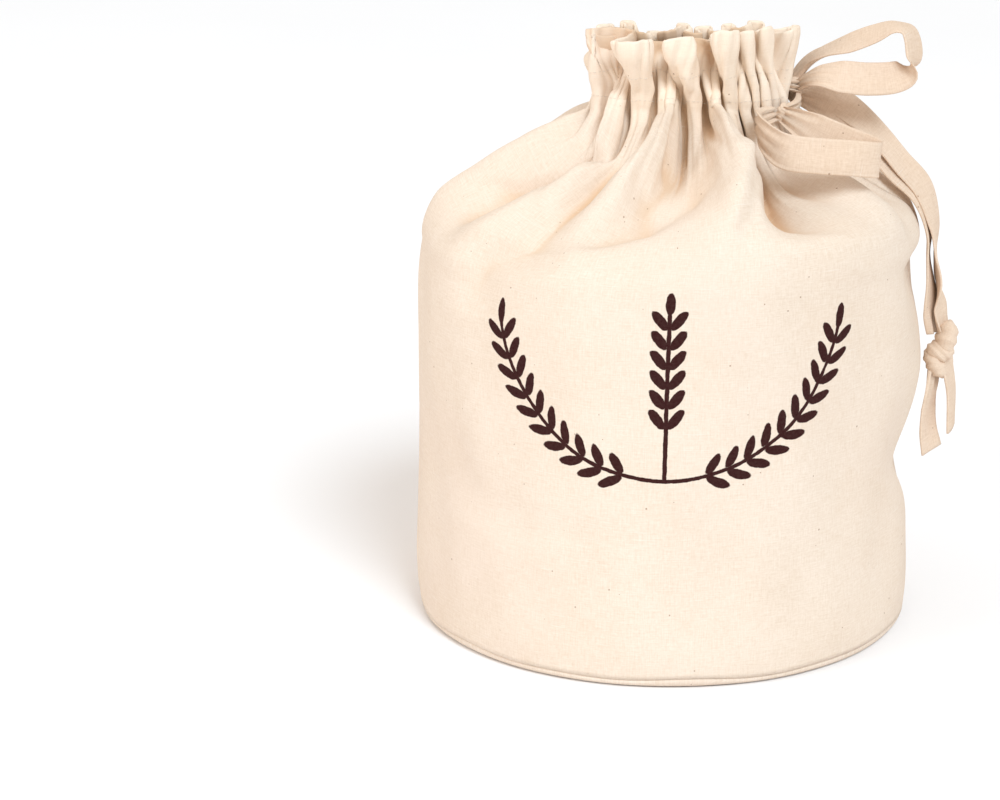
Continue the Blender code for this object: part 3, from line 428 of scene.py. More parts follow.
TURN_CREASE = 0.00045
TURN_CREASE_COUNT = 1.6
TURN_CREASE_SWAY = 0.8
TURN_FULLNESS = 2.6
TURN_THINNEST = 0.25
TURN_SLOPE = 0.0016
TURN_UPRIGHT = (0.0, 1.0, 0.15)

# The base, a row per ring of its cloth: how far inside the wall's seam, its height, and how much of the
# seam's wave it follows.
BaseRing = namedtuple("BaseRing", "inset z lift")
BASE_RINGS = (
    BaseRing(0.120, 0.0004, 0.0),
    BaseRing(0.070, 0.0004, 0.0),
    BaseRing(0.020, 0.0004, 0.0),
    BaseRing(0.0070, 0.0004, 0.0),
    BaseRing(0.0038, 0.0006, 0.0),
    BaseRing(0.0020, 0.0013, 0.2),
    BaseRing(0.0008, 0.0026, 0.6),
    BaseRing(0.0004, 0.0037, 0.9),
    BaseRing(0.0008, 0.0045, 1.0),
    BaseRing(0.0016, 0.0050, 1.0),
)
BASE_COLUMNS = 480

SMALL_STEP = 1e-3
TINY_STEP = 1e-4
SMALLEST_LENGTH = 1e-12

# The cloth's grid: how many columns a panel has, the heights of its rows, and where only some columns
# are kept because the cloth is smooth.
PANEL_COLUMNS = 320
RowBand = namedtuple("RowBand", "low high spacing every")
ROW_BANDS = (
    RowBand(0.000, 0.162, 0.0030, 4),
    RowBand(0.162, 0.285, 0.0016, 2),
    RowBand(0.285, CUT_HEIGHT, 0.0010, 1),
)
SEAM_COLUMNS = 4
SUNK_COLUMNS = 18
SEAM_DEPTH = 0.0013
SEAM_WIDTH = 0.0017

# The tape, drawn finely: the spacing of its sections and the places across it.
TAPE_SPACING = 0.0015
TAPE_ACROSS = (-1.0, -0.97, -0.88, -0.80, -0.74, -0.5, -0.25, 0.0, 0.25, 0.5, 0.75, 0.88, 0.97, 1.0)
TAPE_CURVE_STEPS = 16
TAPE_GROOVE_AT = 0.80
TAPE_GROOVE = 0.00025
TAPE_GROOVE_WIDTH = 0.05
TAPE_EDGE_AT = 0.88
TAPE_EDGE_WIDTH = 0.12
TAPE_THINNEST = 0.25
TAPE_WAVE, TAPE_WAVE_RATE, TAPE_WAVE_LEAN = 0.0004, 95, 2.2
TAPE_TWIST, TAPE_TWIST_RATE = 0.0005, 41
TAPE_PLEAT, TAPE_PLEAT_COUNT, TAPE_PLEAT_LEAN = 0.0024, 1.4, 30

# The small folds of the drawn cloth, a row per run of them round the cloth, and the wall's own slack.
Wrinkle = namedtuple("Wrinkle", "count depth turn sway lean")
WRINKLES = (
    Wrinkle(41, 0.0007, 0.13, 3, 2.2),
    Wrinkle(67, 0.0006, 0.57, 5, 3.1),
    Wrinkle(93, 0.0004, 0.31, 7, 4.0),
    Wrinkle(127, 0.0002, 0.82, 4, 5.0),
)
WRINKLE_LEVELS = (0.255, 0.300, 0.345, 0.362, CUT_HEIGHT)
WRINKLE_SHARES = (0.0, 0.5, 1.0, 0.8, 1.1)
Slack = namedtuple("Slack", "count depth turn lean")
SLACKS = (
    Slack(9, 0.0007, 0.20, 3.0),
    Slack(14, 0.0005, 0.65, -5.0),
    Slack(23, 0.0003, 0.40, 7.0),
)
SLACK_LEVELS = (0.0, 0.03, 0.19, 0.25)
SLACK_SHARES = (0.0, 1.0, 1.0, 0.3)

# The listed folds, a row per fold: its two ends on the cloth, how far it stands out, how wide it is to
# its left and right, and how long its ends take to fade.
Crease = namedtuple("Crease", "low_u low_up high_u high_up height left right fade")
CREASES = (
    Crease(0.062, 0.262, 0.056, 0.306, 0.0024, 0.006, 0.020, 0.016),
    Crease(-0.020, 0.242, -0.060, 0.300, -0.0022, 0.010, 0.007, 0.020),
    Crease(-0.034, 0.292, -0.040, 0.332, -0.0030, 0.003, 0.004, 0.012),
    Crease(-0.006, 0.310, -0.010, 0.340, -0.0026, 0.003, 0.002, 0.010),
    Crease(0.042, 0.300, 0.030, 0.344, -0.0030, 0.003, 0.003, 0.012),
    Crease(0.088, 0.305, 0.076, 0.340, -0.0024, 0.003, 0.003, 0.010),
    Crease(-0.088, 0.296, -0.086, 0.336, -0.0026, 0.003, 0.004, 0.012),
    Crease(0.018, 0.214, -0.010, 0.262, 0.0016, 0.012, 0.018, 0.022),
    Crease(-0.142, 0.196, -0.119, 0.262, -0.0026, 0.030, 0.005, 0.024),
    Crease(-0.142, 0.196, -0.119, 0.262, 0.0018, 0.005, 0.030, 0.024),
    Crease(-0.117, 0.236, -0.160, 0.316, -0.0036, 0.022, 0.004, 0.022),
    Crease(-0.117, 0.236, -0.160, 0.316, 0.0026, 0.004, 0.026, 0.022),
    Crease(-0.226, 0.246, -0.166, 0.322, -0.0036, 0.006, 0.010, 0.020),
    Crease(-0.095, 0.226, 0.034, 0.296, -0.0030, 0.024, 0.014, 0.022),
    Crease(0.036, 0.238, 0.082, 0.312, -0.0042, 0.003, 0.030, 0.018),
    Crease(0.036, 0.238, 0.082, 0.312, 0.0026, 0.022, 0.003, 0.018),
    Crease(0.150, 0.205, 0.040, 0.256, 0.0018, 0.022, 0.012, 0.020),
    Crease(-0.250, 0.342, -0.250, 0.370, 0.0036, 0.016, 0.016, 0.013),
    Crease(-0.228, 0.350, -0.228, 0.400, -0.0050, 0.040, 0.036, 0.022),
    Crease(-0.168, 0.340, -0.180, 0.377, -0.0022, 0.004, 0.003, 0.010),
    Crease(-0.100, 0.336, -0.112, 0.372, 0.0020, 0.003, 0.005, 0.012),
    Crease(-0.060, 0.338, -0.048, 0.374, -0.0022, 0.004, 0.003, 0.010),
    Crease(-0.010, 0.334, -0.036, 0.366, 0.0022, 0.004, 0.003, 0.012),
    Crease(0.050, 0.340, 0.036, 0.377, -0.0020, 0.003, 0.003, 0.010),
    Crease(0.096, 0.336, 0.110, 0.370, 0.0018, 0.003, 0.004, 0.010),
    Crease(0.160, 0.336, 0.150, 0.377, -0.0020, 0.003, 0.003, 0.010),
    Crease(0.205, 0.338, 0.214, 0.372, 0.0016, 0.003, 0.003, 0.010),
    Crease(-0.216, 0.300, -0.222, 0.340, -0.0024, 0.004, 0.003, 0.012),
    Crease(0.142, 0.296, 0.126, 0.338, -0.0024, 0.003, 0.003, 0.012),
)

# The top edge's rise over each pleat, and how uneven it is.
HUMP_HEIGHT = 0.0016
HUMP_UNEVEN = 0.0012
HUMP_COUNT = 11
HUMP_TURN = 0.3

# The casing's two rows of stitches.
CASING_LOW_STITCH = 0.3385
CASING_HIGH_STITCH = 0.3555
STITCH_PITCH = 0.0028
STITCH_LENGTH = 0.0021
STITCH_RADIUS = 0.00022
STITCH_LIFT = 0.00016
STITCH_SINK = 0.00020
STITCH_RINGS = 5
STITCH_SIDES = 6
STITCH_END_SHARE = 0.6

# Where the cloth is doubled, and how thick the rolled top edge is beside the ruffle.
THICKNESS_LEVELS = (SLOT_LOW - 0.004, SLOT_LOW, SLOT_HIGH + 0.004, CUT_HEIGHT - 0.003, CUT_HEIGHT)
ROLL_SHARE, EDGE_SHARE = 0.75, 0.45

# The print: grains of wheat on a stem, one sprig upright and two that curve up beside it.
Grain = namedtuple("Grain", "half_long half_short offset lean stem")
ARM_GRAIN = Grain(0.0068, 0.0026, 0.0052, 0.72, 0.0011)
EAR_GRAIN = Grain(0.0066, 0.0027, 0.0050, 0.66, 0.0012)
TIP_SHARE = 0.6
PRINT_MIDDLE_UP = 0.160
ARM_RADIUS = 0.098
ARM_LIFT = 0.050
ARM_STEP = 0.0112
ARM_PAIRS = 10
ARM_FIRST = 0.022
ARM_STEM_FROM = -0.0225
EAR_STEP = 0.0106
EAR_PAIRS = 6
EAR_LOW = -0.020
EAR_STEM_FROM = -0.0285
INK_BLUR = 0.00018
INK_WOBBLE = 0.0011
INK_WOBBLE_SCALE = 230.0
INK_WEAR = (0.55, 1.35, 1.0, 0.965)

# The canvas. Streaks and slubs are noise drawn out along the threads, so they have a scale for each way.
DRIFT, DRIFT_SCALE = 0.0005, 260.0
OVER_SHARE, UNDER_SHARE = 0.3, 0.7
WARP_STREAK_SCALE = (1900.0, 120.0, 1.0)
WEFT_STREAK_SCALE = (110.0, 1900.0, 1.0)
SLUB_SCALE = (40.0, 950.0, 1.0)
SLUB_FROM, SLUB_TO = 0.66, 0.78
MOTTLE_SCALE, PATCH_SCALE, BLUSH_SCALE = 620.0, 16.0, 7.0
STREAK_TONE, MOTTLE_TONE, PATCH_TONE, WEAVE_TONE, MIDDLE_TONE = 2.4, 1.2, 0.9, -0.5, 0.42
# Painted light: from this far below the casing's slot to this far above it, the ruffle and casing are made
# brighter, mixed in this far, in place of light shining through and onto the thin cloth.
RUFFLE_GLOW_BELOW, RUFFLE_GLOW_ABOVE, RUFFLE_GLOW_TINT = 0.020, 0.004, 0.5
# Painted shade deep in the folds: it starts at the first share of the painted shade's fold depth, is full at
# the second, and is mixed in this far.
PAINTED_SHADE_FROM, PAINTED_SHADE_TO, PAINTED_SHADE_TINT = 1 / 8, 1.25, 0.8
BLUSH_FROM, BLUSH_TO, BLUSH_TINT = 0.45, 0.75, 0.35
SLUB_TINT, SPECK_TINT, SPECK_SHARE = 0.35, 0.6, 0.5
STREAK_HEIGHT, SLUB_HEIGHT, BUMP_STRENGTH = 0.8, 0.9, 0.55
CLOTH_FINISH = {
    "Roughness": 0.92,
    "Sheen Weight": 0.015,
    "Sheen Roughness": 0.6,
    "Specular IOR Level": 0.05,
}
THREAD_FINISH = {"Roughness": 0.7, "Sheen Weight": 0.015}
THREAD_FLUFF_SCALE, THREAD_BUMP = 900.0, 0.5

# The stage.
Lamp = namedtuple("Lamp", "name kind place size strength colour")
LAMPS = (
    Lamp("key_light", "SUN", (0.55, -1.15, 1.40), math.radians(24), 2.05, (0.77, 0.90, 1.0)),
    Lamp("top_light", "AREA", (-0.4, 0.3, 2.2), 1.4, 5.0, (1.0, 1.0, 1.0)),
    Lamp("side_light", "AREA", (-1.5, -1.1, 0.75), 0.9, 9.0, (0.95, 0.94, 0.93)),
)
LAMP_TARGET = Vector((0, 0, 0.15))
WORLD_STRENGTH = 0.66
WORLD_COLOUR = (1.0, 0.93, 0.85)
CAMERA_PLACE = (0.0, -1.70, 0.629)
CAMERA_PITCH = math.radians(16.75)
CAMERA_YAW = math.radians(3.10)
CAMERA_LENS = 113.65
CAMERA_SENSOR = 36.0
FLOOR_REACH = 6
FLOOR_DROP = 0.0002
FLOOR_GRAIN_SCALE = 3.0
FLOOR_GRAIN_FROM, FLOOR_GRAIN_TO = 0.3, 0.7
FLOOR_GRAIN_SHADE = 0.99
FLOOR_ROUGHNESS = 0.7


def smooth_through(knots, values, at):
    """A smooth curve through the rows of a table, with no overshoot between them."""
    step = np.diff(knots)
    rate = np.diff(values) / step
    slope = np.zeros(len(knots))
    slope[0], slope[-1] = rate[0], rate[-1]
    same_way = rate[:-1] * rate[1:] > 0
    before, after = step[:-1][same_way], step[1:][same_way]
    weight_before, weight_after = 2 * after + before, after + 2 * before
    slope[1:-1][same_way] = (weight_before + weight_after) / (
        weight_before / rate[:-1][same_way] + weight_after / rate[1:][same_way]
    )
    at = np.clip(at, knots[0], knots[-1])
    cell = np.clip(np.searchsorted(knots, at, side="right") - 1, 0, len(knots) - 2)
    t = (at - knots[cell]) / step[cell]
    rise = values[cell] + (values[cell + 1] - values[cell]) * t * t * (3 - 2 * t)
    bend = t * (1 - t) * (slope[cell] * (1 - t) - slope[cell + 1] * t)
    return rise + step[cell] * bend


def column(table, name, at):
    """One named column of a table, read at the given heights along the cloth."""
    rows = sorted(table, key=lambda row: row.up)
    knots = np.array([row.up for row in rows])
    values = np.array([getattr(row, name) for row in rows])
    return smooth_through(knots, values, at)


def neck_outline(u):
    """The flat-sided oval of the drawn neck, once round, with half sizes of 1."""
    quarter_turn = math.pi * NECK_END_RADIUS / 2
    quarter = NECK_STRAIGHT + quarter_turn
    wrapped = (u + 0.5) % 1.0 - 0.5
    run = np.abs(wrapped) * 4 * quarter
    folded = np.where(run > quarter, 2 * quarter - run, run)
    turn = np.clip(folded - NECK_STRAIGHT, 0, None) / NECK_END_RADIUS
    x = np.minimum(folded, NECK_STRAIGHT) + NECK_END_RADIUS * np.sin(turn)
    y = -np.cos(turn)
    return (
        np.sign(wrapped) * x / (NECK_STRAIGHT + NECK_END_RADIUS),
        np.where(run > quarter, -y, y),
    )


def plain_wall(u, up):
    """The wall without its folds and gathers."""
    necked = column(LEVELS, "necked", up)
    neck_x, neck_y = neck_outline(u)
    angle = 2 * math.pi * u
    x = (1 - necked) * np.sin(angle) + necked * neck_x
    y = -(1 - necked) * np.cos(angle) + necked * neck_y
    seam_wave = BASE_SEAM_WAVE * sum(
        wave.share * np.sin(wave.count * angle + wave.turn) for wave in BASE_SEAM_WAVES
    )
    return np.stack(
        [
            column(LEVELS, "half_width", up) * x + column(LEVELS, "shift", up),
            column(LEVELS, "half_depth", up) * y,
            column(LEVELS, "z", up) + seam_wave * np.exp(-up / BASE_SEAM_FADE),
        ],
        axis=-1,
    )


def unit(vectors):
    """Vectors made 1 long."""
    return vectors / np.maximum(np.linalg.norm(vectors, axis=-1, keepdims=True), SMALLEST_LENGTH)


def around_and_out(surface, u, up):
    """The way round the cloth and the way out of it, at each place of a surface."""
    around = unit(surface(u + TINY_STEP, up) - surface(u - TINY_STEP, up))
    lower = np.maximum(up - TINY_STEP, 0)
    upper = np.minimum(up + TINY_STEP, CUT_HEIGHT)
    along = surface(u, upper) - surface(u, lower)
    return around, unit(np.cross(around, along))


def girth(up):
    """About how long the wall's outline is at a height."""
    return math.pi * (column(LEVELS, "half_width", up) + column(LEVELS, "half_depth", up))


def fold_height(rows, u, up):
    """How far one fold moves the cloth out. Its line is read by height, or by u where it runs level."""
    names = ("up", "u", "height", "lower", "higher")
    table = {name: np.array([getattr(row, name) for row in rows]) for name in names}
    middle = table["u"].mean()
    away = (u - middle + 0.5) % 1.0 - 0.5
    table["u"] = table["u"] - middle
    level = np.ptp(table["up"]) < np.ptp(table["u"]) * LEVEL_FOLD_GIRTH
    by, at = ("u", away) if level else ("up", up)
    order = np.argsort(table[by])
    knots = table[by][order]

    def read(name, shift=0.0):
        return smooth_through(knots, table[name][order], at + shift)

    scale = girth(up)
    if level:
        off = up - read("up")
        slope = (read("up", SMALL_STEP) - read("up", -SMALL_STEP)) / (2 * SMALL_STEP * scale)
        past_end = np.maximum(knots[0] - at, at - knots[-1]) * scale
    else:
        off = (away - read("u")) * scale
        slope = (read("u", SMALL_STEP) - read("u", -SMALL_STEP)) * scale / (2 * SMALL_STEP)
        past_end = np.maximum(knots[0] - at, at - knots[-1])
    distance = np.abs(off) / np.sqrt(1 + slope**2)
    width = np.where(off > 0, read("higher"), read("lower"))
    end_fade = np.exp(-((np.maximum(past_end, 0) / FOLD_END_FADE) ** 2))
    return read("height") * end_fade * np.exp(-((distance / width) ** FOLD_CRISPNESS))


def between_pleats(values, u):
    """A value that is given at each pleat, read all round the cloth."""
    casing = np.array([pleat.casing_u for pleat in PLEATS])
    knots = np.concatenate([casing - 1, casing, casing + 1])
    return smooth_through(knots, values, (u - casing[0]) % 1.0 + casing[0])


def pleat_phase(u, up):
    """The gathers' turn at a place: a whole number of turns at each pleat that stands out."""
    lean = np.tile([pleat.top_u - pleat.casing_u for pleat in PLEATS], 3)
    towards_top = np.clip((up - SLOT_LOW) / (CUT_HEIGHT - SLOT_LOW), 0, 1)
    moved = u - between_pleats(lean, u) * towards_top
    turns = np.arange(-len(PLEATS), 2 * len(PLEATS), dtype=float)
    return 2 * math.pi * between_pleats(turns, moved)


def at_pleats(name, u):
    """One column of the pleats' table, read all round the cloth."""
    return between_pleats(np.tile([getattr(pleat, name) for pleat in PLEATS], 3), u)


def gathers(u, up):
    """How far the gathers move the cloth out and along its outline."""
    phase = pleat_phase(u, up)
    turning = (pleat_phase(u + SMALL_STEP, up) - pleat_phase(u - SMALL_STEP, up)) % (2 * math.pi)
    pitch = 2 * math.pi * 2 * SMALL_STEP * girth(up) / turning
    steepness = np.clip(pitch / USUAL_PITCH, PITCH_SHARE_LEAST, PITCH_SHARE_MOST)
    level = up - at_pleats("pinch", u)
    wide = column(GATHERS, "wide", level) * steepness * at_pleats("depth", u)
    fine = column(GATHERS, "fine", level) * steepness
    drift = FINE_DRIFT * np.sin(2 * math.pi * FINE_DRIFT_TURNS * u)
    fine_phase = 2 * phase + FINE_OFFSET + drift
    broad_phase = phase - column(GATHERS, "breadth", level) * np.sin(phase)
    out = wide * np.cos(broad_phase) + fine * np.cos(fine_phase)
    along = (wide**2 * np.sin(2 * phase) + 2 * fine**2 * np.sin(2 * fine_phase)) / (2 * pitch)
    return out, along


def wall(u, up):
    """The middle of the wall's cloth, with its folds and gathers."""
    around, out = around_and_out(plain_wall, u, up)
    gathered_out, gathered_along = gathers(u, up)
    height = gathered_out + sum(fold_height(rows, u, up) for rows in FOLDS.values())
    edge = np.clip((up - SLOT_HIGH) / (CUT_HEIGHT - SLOT_HIGH), 0, 1)
    edge_wave = at_pleats("rise", u)
    place = plain_wall(u, up) + height[..., None] * out + gathered_along[..., None] * around
    place[..., 2] += edge * (edge_wave - RUFFLE_TILT * place[..., 1] / NECK_END_RADIUS)
    return place


def grid_rows():
    """The heights of the grid's rows, from the base seam up, and how many columns apart each keeps."""
    ups, every = [], []
    for band in ROW_BANDS:
        count = round((band.high - band.low) / band.spacing)
        step = (band.high - band.low) / count
        ups += [band.low + step * i for i in range(count)]
        every += [band.every] * count
    return np.array(ups + [CUT_HEIGHT]), every + [1]


def wall_grid():
    """The drawn wall's grid: its places round and up the cloth, the columns kept, and its points."""
    ups, every = grid_rows()
    us = np.linspace(LEFT_SEAM_U, LEFT_SEAM_U + 1, 2 * PANEL_COLUMNS + 1)
    u, up = np.meshgrid(us, ups)
    places = wall(u.ravel(), up.ravel()).reshape(u.shape + (3,))
    places += (wrinkles(u, up) + creases(u, up))[..., None] * way_out(places)
    places[..., 2] += edge_humps(u, up)
    return us, ups, every, places


def edge_humps(u, up):
    """How the top edge rises over each pleat and dips between two, a little unevenly."""
    hump = HUMP_HEIGHT * np.cos(pleat_phase(u.ravel(), up.ravel()).reshape(u.shape))
    uneven = HUMP_UNEVEN * np.sin(math.tau * (HUMP_COUNT * u + HUMP_TURN))
    return (hump + uneven) * np.clip((up - SLOT_HIGH) / (CUT_HEIGHT - SLOT_HIGH), 0, 1) ** 2


def wrinkles(u, up):
    """The small uneven folds that a drawn cloth has among its gathers, and the slack of the wall."""
    near_neck = np.interp(up, WRINKLE_LEVELS, WRINKLE_SHARES)
    found = np.zeros(u.shape)
    for row in WRINKLES:
        lean = row.lean * np.sin(math.tau * (row.sway * u + row.turn))
        found += row.depth * np.sin(math.tau * (row.count * u + row.turn + lean * up)) * near_neck
    on_wall = np.interp(up, SLACK_LEVELS, SLACK_SHARES)
    for row in SLACKS:
        found += row.depth * np.sin(math.tau * (row.count * u + row.turn + row.lean * up)) * on_wall
    return found


def creases(u, up):
    """Listed folds: each runs between two places on the cloth, sunk or raised, and fades at its ends."""
    found = np.zeros(u.shape)
    for row in CREASES:
        share = np.clip((up - row.low_up) / (row.high_up - row.low_up), 0, 1)
        middle = row.low_u + (row.high_u - row.low_u) * share
        aside = ((u - middle + 0.5) % 1 - 0.5) * CUT_ROUND
        across = np.where(aside < 0, aside / row.left, aside / row.right)
        reach = np.clip((up - row.low_up) / row.fade, 0, 1) * np.clip((row.high_up - up) / row.fade, 0, 1)
        found += row.height * np.exp(-(across**2)) * reach * reach * (3 - 2 * reach)
    return found


def way_out(places):
    """The way out of a grid that closes on itself."""
    looped = np.concatenate([places[:, -2:-1], places, places[:, 1:2]], axis=1)
    around = looped[:, 2:] - looped[:, :-2]
    along = np.gradient(places, axis=0)
    return unit(np.cross(around, along))


def how_sunk(places, out):
    """How far each place lies behind the cloth on both sides of it, as between two pleats; it sets the
    painted fold shade.
    """
    columns = places.shape[1] - 1
    ring = places[:, :columns]
    wide = 2 * SUNK_COLUMNS + 1
    around = np.concatenate([ring[:, -SUNK_COLUMNS:], ring, ring[:, :SUNK_COLUMNS]], axis=1)
    summed = np.concatenate([np.zeros_like(around[:, :1]), np.cumsum(around, axis=1)], axis=1)
    mean = (summed[:, wide:] - summed[:, :-wide]) / wide
    sunk = ((mean - ring) * out[:, :columns]).sum(axis=-1)
    return np.concatenate([sunk, sunk[:, :1]], axis=1)


def kept_columns(count, every):
    """The columns that a row keeps: all of them next to a seam, and every so many between."""
    near = list(range(SEAM_COLUMNS)) + [count - i for i in range(SEAM_COLUMNS)]
    return sorted(set(near) | set(range(0, count + 1, every)))


def strip_faces(lower, upper, lower_at, upper_at):
    """Faces between two rows of points whose columns may differ. Each row is {column: point}."""
    if lower == upper:
        return [
            (lower_at[a], lower_at[b], upper_at[b], upper_at[a]) for a, b in zip(lower[:-1], lower[1:])
        ]
    faces = []
    i = j = 0
    while i < len(lower) - 1 or j < len(upper) - 1:
        next_low = lower[i + 1] if i < len(lower) - 1 else math.inf
        next_high = upper[j + 1] if j < len(upper) - 1 else math.inf
        if next_low <= next_high:
            faces.append((lower_at[lower[i]], lower_at[lower[i + 1]], upper_at[upper[j]]))
            i += 1
        else:
            faces.append((lower_at[lower[i]], upper_at[upper[j + 1]], upper_at[upper[j]]))
            j += 1
    return faces


def open_edges(faces):
    """The directed edges that only one face has."""
    directed = {(face[i], face[(i + 1) % len(face)]) for face in faces for i in range(len(face))}
    return [edge for edge in directed if edge[::-1] not in directed]


def new_piece(name, points, faces, uvs, material, slot):
    """A mesh object in the row frame, smooth, with its cloth coordinates in metres as UVs."""
    mesh = bpy.data.meshes.new(name)
    mesh.from_pydata(np.asarray(points, float).tolist(), [], faces)
    mesh.validate()
    layer = mesh.uv_layers.new(name="cloth")
    corner = np.empty(len(mesh.loops), np.int32)
    mesh.loops.foreach_get("vertex_index", corner)
    layer.data.foreach_set("uv", np.asarray(uvs, np.float32)[corner].ravel())
    mesh.shade_smooth()
    mesh.materials.append(material)
    piece = bpy.data.objects.new(name, mesh)
    bpy.context.scene.collection.objects.link(piece)
    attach(piece, "root")
    return piece


def cloth_piece(name, columns, us, ups, every, places, out, half, sunk, material):
    """One panel of the wall as a thin closed sheet, its side edges turned in at the seams."""
    count = len(columns) - 1
    run = np.linalg.norm(np.diff(places[:, columns], axis=1), axis=-1)
    before = np.concatenate([np.zeros((len(ups), 1)), np.cumsum(run, axis=1)], axis=1)
    from_seam = np.minimum(before, before[:, -1:] - before)
    seam = SEAM_DEPTH * np.exp(-((from_seam / SEAM_WIDTH) ** 2))
    middle = places[:, columns] - seam[..., None] * out[:, columns]
    cells, index = [], []
    for r in range(len(ups)):
        kept = kept_columns(count, every[r])
        index.append({c: len(cells) + i for i, c in enumerate(kept)})
        cells += [(r, c) for c in kept]
    row, kept_at = np.array(cells).T
    column_at = columns[kept_at]
    thick = half[row][:, None] * out[row, column_at]
    flat = middle[row, kept_at]
    uv = np.column_stack([us[column_at] * CUT_ROUND, ups[row]])
    faces = []
    for r in range(len(ups) - 1):
        faces += strip_faces(list(index[r]), list(index[r + 1]), index[r], index[r + 1])
    size = len(cells)
    rim = open_edges(faces)
    rim_points = sorted({point for edge in rim for point in edge})
    rim_at = {point: 2 * size + i for i, point in enumerate(rim_points)}
    rim_row = row[rim_points]
    up_way = unit(np.gradient(places, axis=0))[rim_row, column_at[rim_points]]
    at_top = (rim_row == len(ups) - 1)[:, None]
    crown = flat[rim_points] + np.where(at_top, up_way * half[rim_row][:, None], 0)
    everything = np.concatenate([flat + thick, flat - thick, crown])
    all_uv = np.concatenate([uv, uv, uv[rim_points]])
    closed = list(faces) + [tuple(i + size for i in reversed(face)) for face in faces]
    for start, end in rim:
        closed.append((end, start, rim_at[start], rim_at[end]))
        closed.append((rim_at[end], rim_at[start], start + size, end + size))
    piece = new_piece(name, everything, closed, all_uv, material, "canvas")
    # How sunk each point lies, kept on the mesh for the painted fold shade.
    depth = sunk[row, column_at]
    depths = np.concatenate([depth, depth, depth[rim_points]])
    shade = piece.data.attributes.new("sunk", "FLOAT", "POINT")
    shade.data.foreach_set("value", depths.astype(np.float32))
    return piece


def stitches(line, out):
    """Threads along a line of places, each a short bead that dips into the cloth at its ends."""
    run = np.concatenate([[0], np.cumsum(np.linalg.norm(np.diff(line, axis=0), axis=1))])
    starts = np.arange(STITCH_PITCH, run[-1] - STITCH_PITCH, STITCH_PITCH)
    shares = np.linspace(0, 1, STITCH_RINGS)
    at = starts[:, None] + shares * STITCH_LENGTH
    middle = np.stack([np.interp(at, run, line[:, axis]) for axis in range(3)], axis=-1)
    lifted = np.stack([np.interp(at, run, out[:, axis]) for axis in range(3)], axis=-1)
    arch = np.sin(math.pi * shares)[None, :, None]
    middle = middle + lifted * (STITCH_LIFT * arch - STITCH_SINK * (1 - arch))
    along = unit(np.gradient(middle, axis=1))
    side = unit(np.cross(along, lifted))
    up_way = np.cross(side, along)
    sides = STITCH_SIDES
    angle = np.arange(sides) / sides * math.tau
    radius = STITCH_RADIUS * (STITCH_END_SHARE + (1 - STITCH_END_SHARE) * arch)[..., None]
    ring = np.cos(angle)[:, None] * side[:, :, None] + np.sin(angle)[:, None] * up_way[:, :, None]
    points = (middle[:, :, None] + radius * ring).reshape(-1, 3)
    uvs = np.stack(np.broadcast_arrays(at[:, :, None], angle * STITCH_RADIUS), axis=-1).reshape(-1, 2)
    faces = []
    for stitch in range(len(starts)):
        first = stitch * len(shares) * sides
        for ring_start in range(first, first + (len(shares) - 1) * sides, sides):
            for i in range(sides):
                j = (i + 1) % sides
                faces.append((ring_start + i, ring_start + j, ring_start + j + sides, ring_start + i + sides))
        faces.append(tuple(first + i for i in reversed(range(sides))))
        faces.append(tuple(first + (len(shares) - 1) * sides + i for i in range(sides)))
    return points, faces, uvs


def stitched_row(up, ups, places, out, half):
    """A row of stitches round both panels at one height, clear of the side seams."""
    row = np.abs(ups - up).argmin()
    clear = 2 * SEAM_COLUMNS
    found = []
    for first in (0, PANEL_COLUMNS):
        span = slice(first + clear, first + PANEL_COLUMNS - clear)
        found.append(stitches(places[row, span] + half[row] * out[row, span], out[row, span]))
    return joined(found)


def tape_line(rows):
    """Places along a tape's run at an even spacing, with the way its width points and its open share."""
    points = np.array([(row.x, row.y, row.z) + tuple(row.across) + (row.open,) for row in rows])
    padded = np.vstack([2 * points[0] - points[1], points, 2 * points[-1] - points[-2]])
    found = []
    for i in range(len(points) - 1):
        a, b, c, d = padded[i : i + 4]
        for t in np.arange(0, 1, 1 / TAPE_CURVE_STEPS):
            bend = 2 * a - 5 * b + 4 * c - d + t * (3 * (b - c) + d - a)
            found.append(b + 0.5 * t * (c - a + t * bend))
    found = np.array(found + [points[-1]])
    run = np.concatenate([[0], np.cumsum(np.linalg.norm(np.diff(found[:, :3], axis=0), axis=1))])
    at = np.linspace(0, run[-1], max(int(run[-1] / TAPE_SPACING), 4))
    even = np.column_stack([np.interp(at, run, found[:, k]) for k in range(7)])
    return at, even[:, :3], even[:, 3:6], np.clip(even[:, 6], 0, 1)


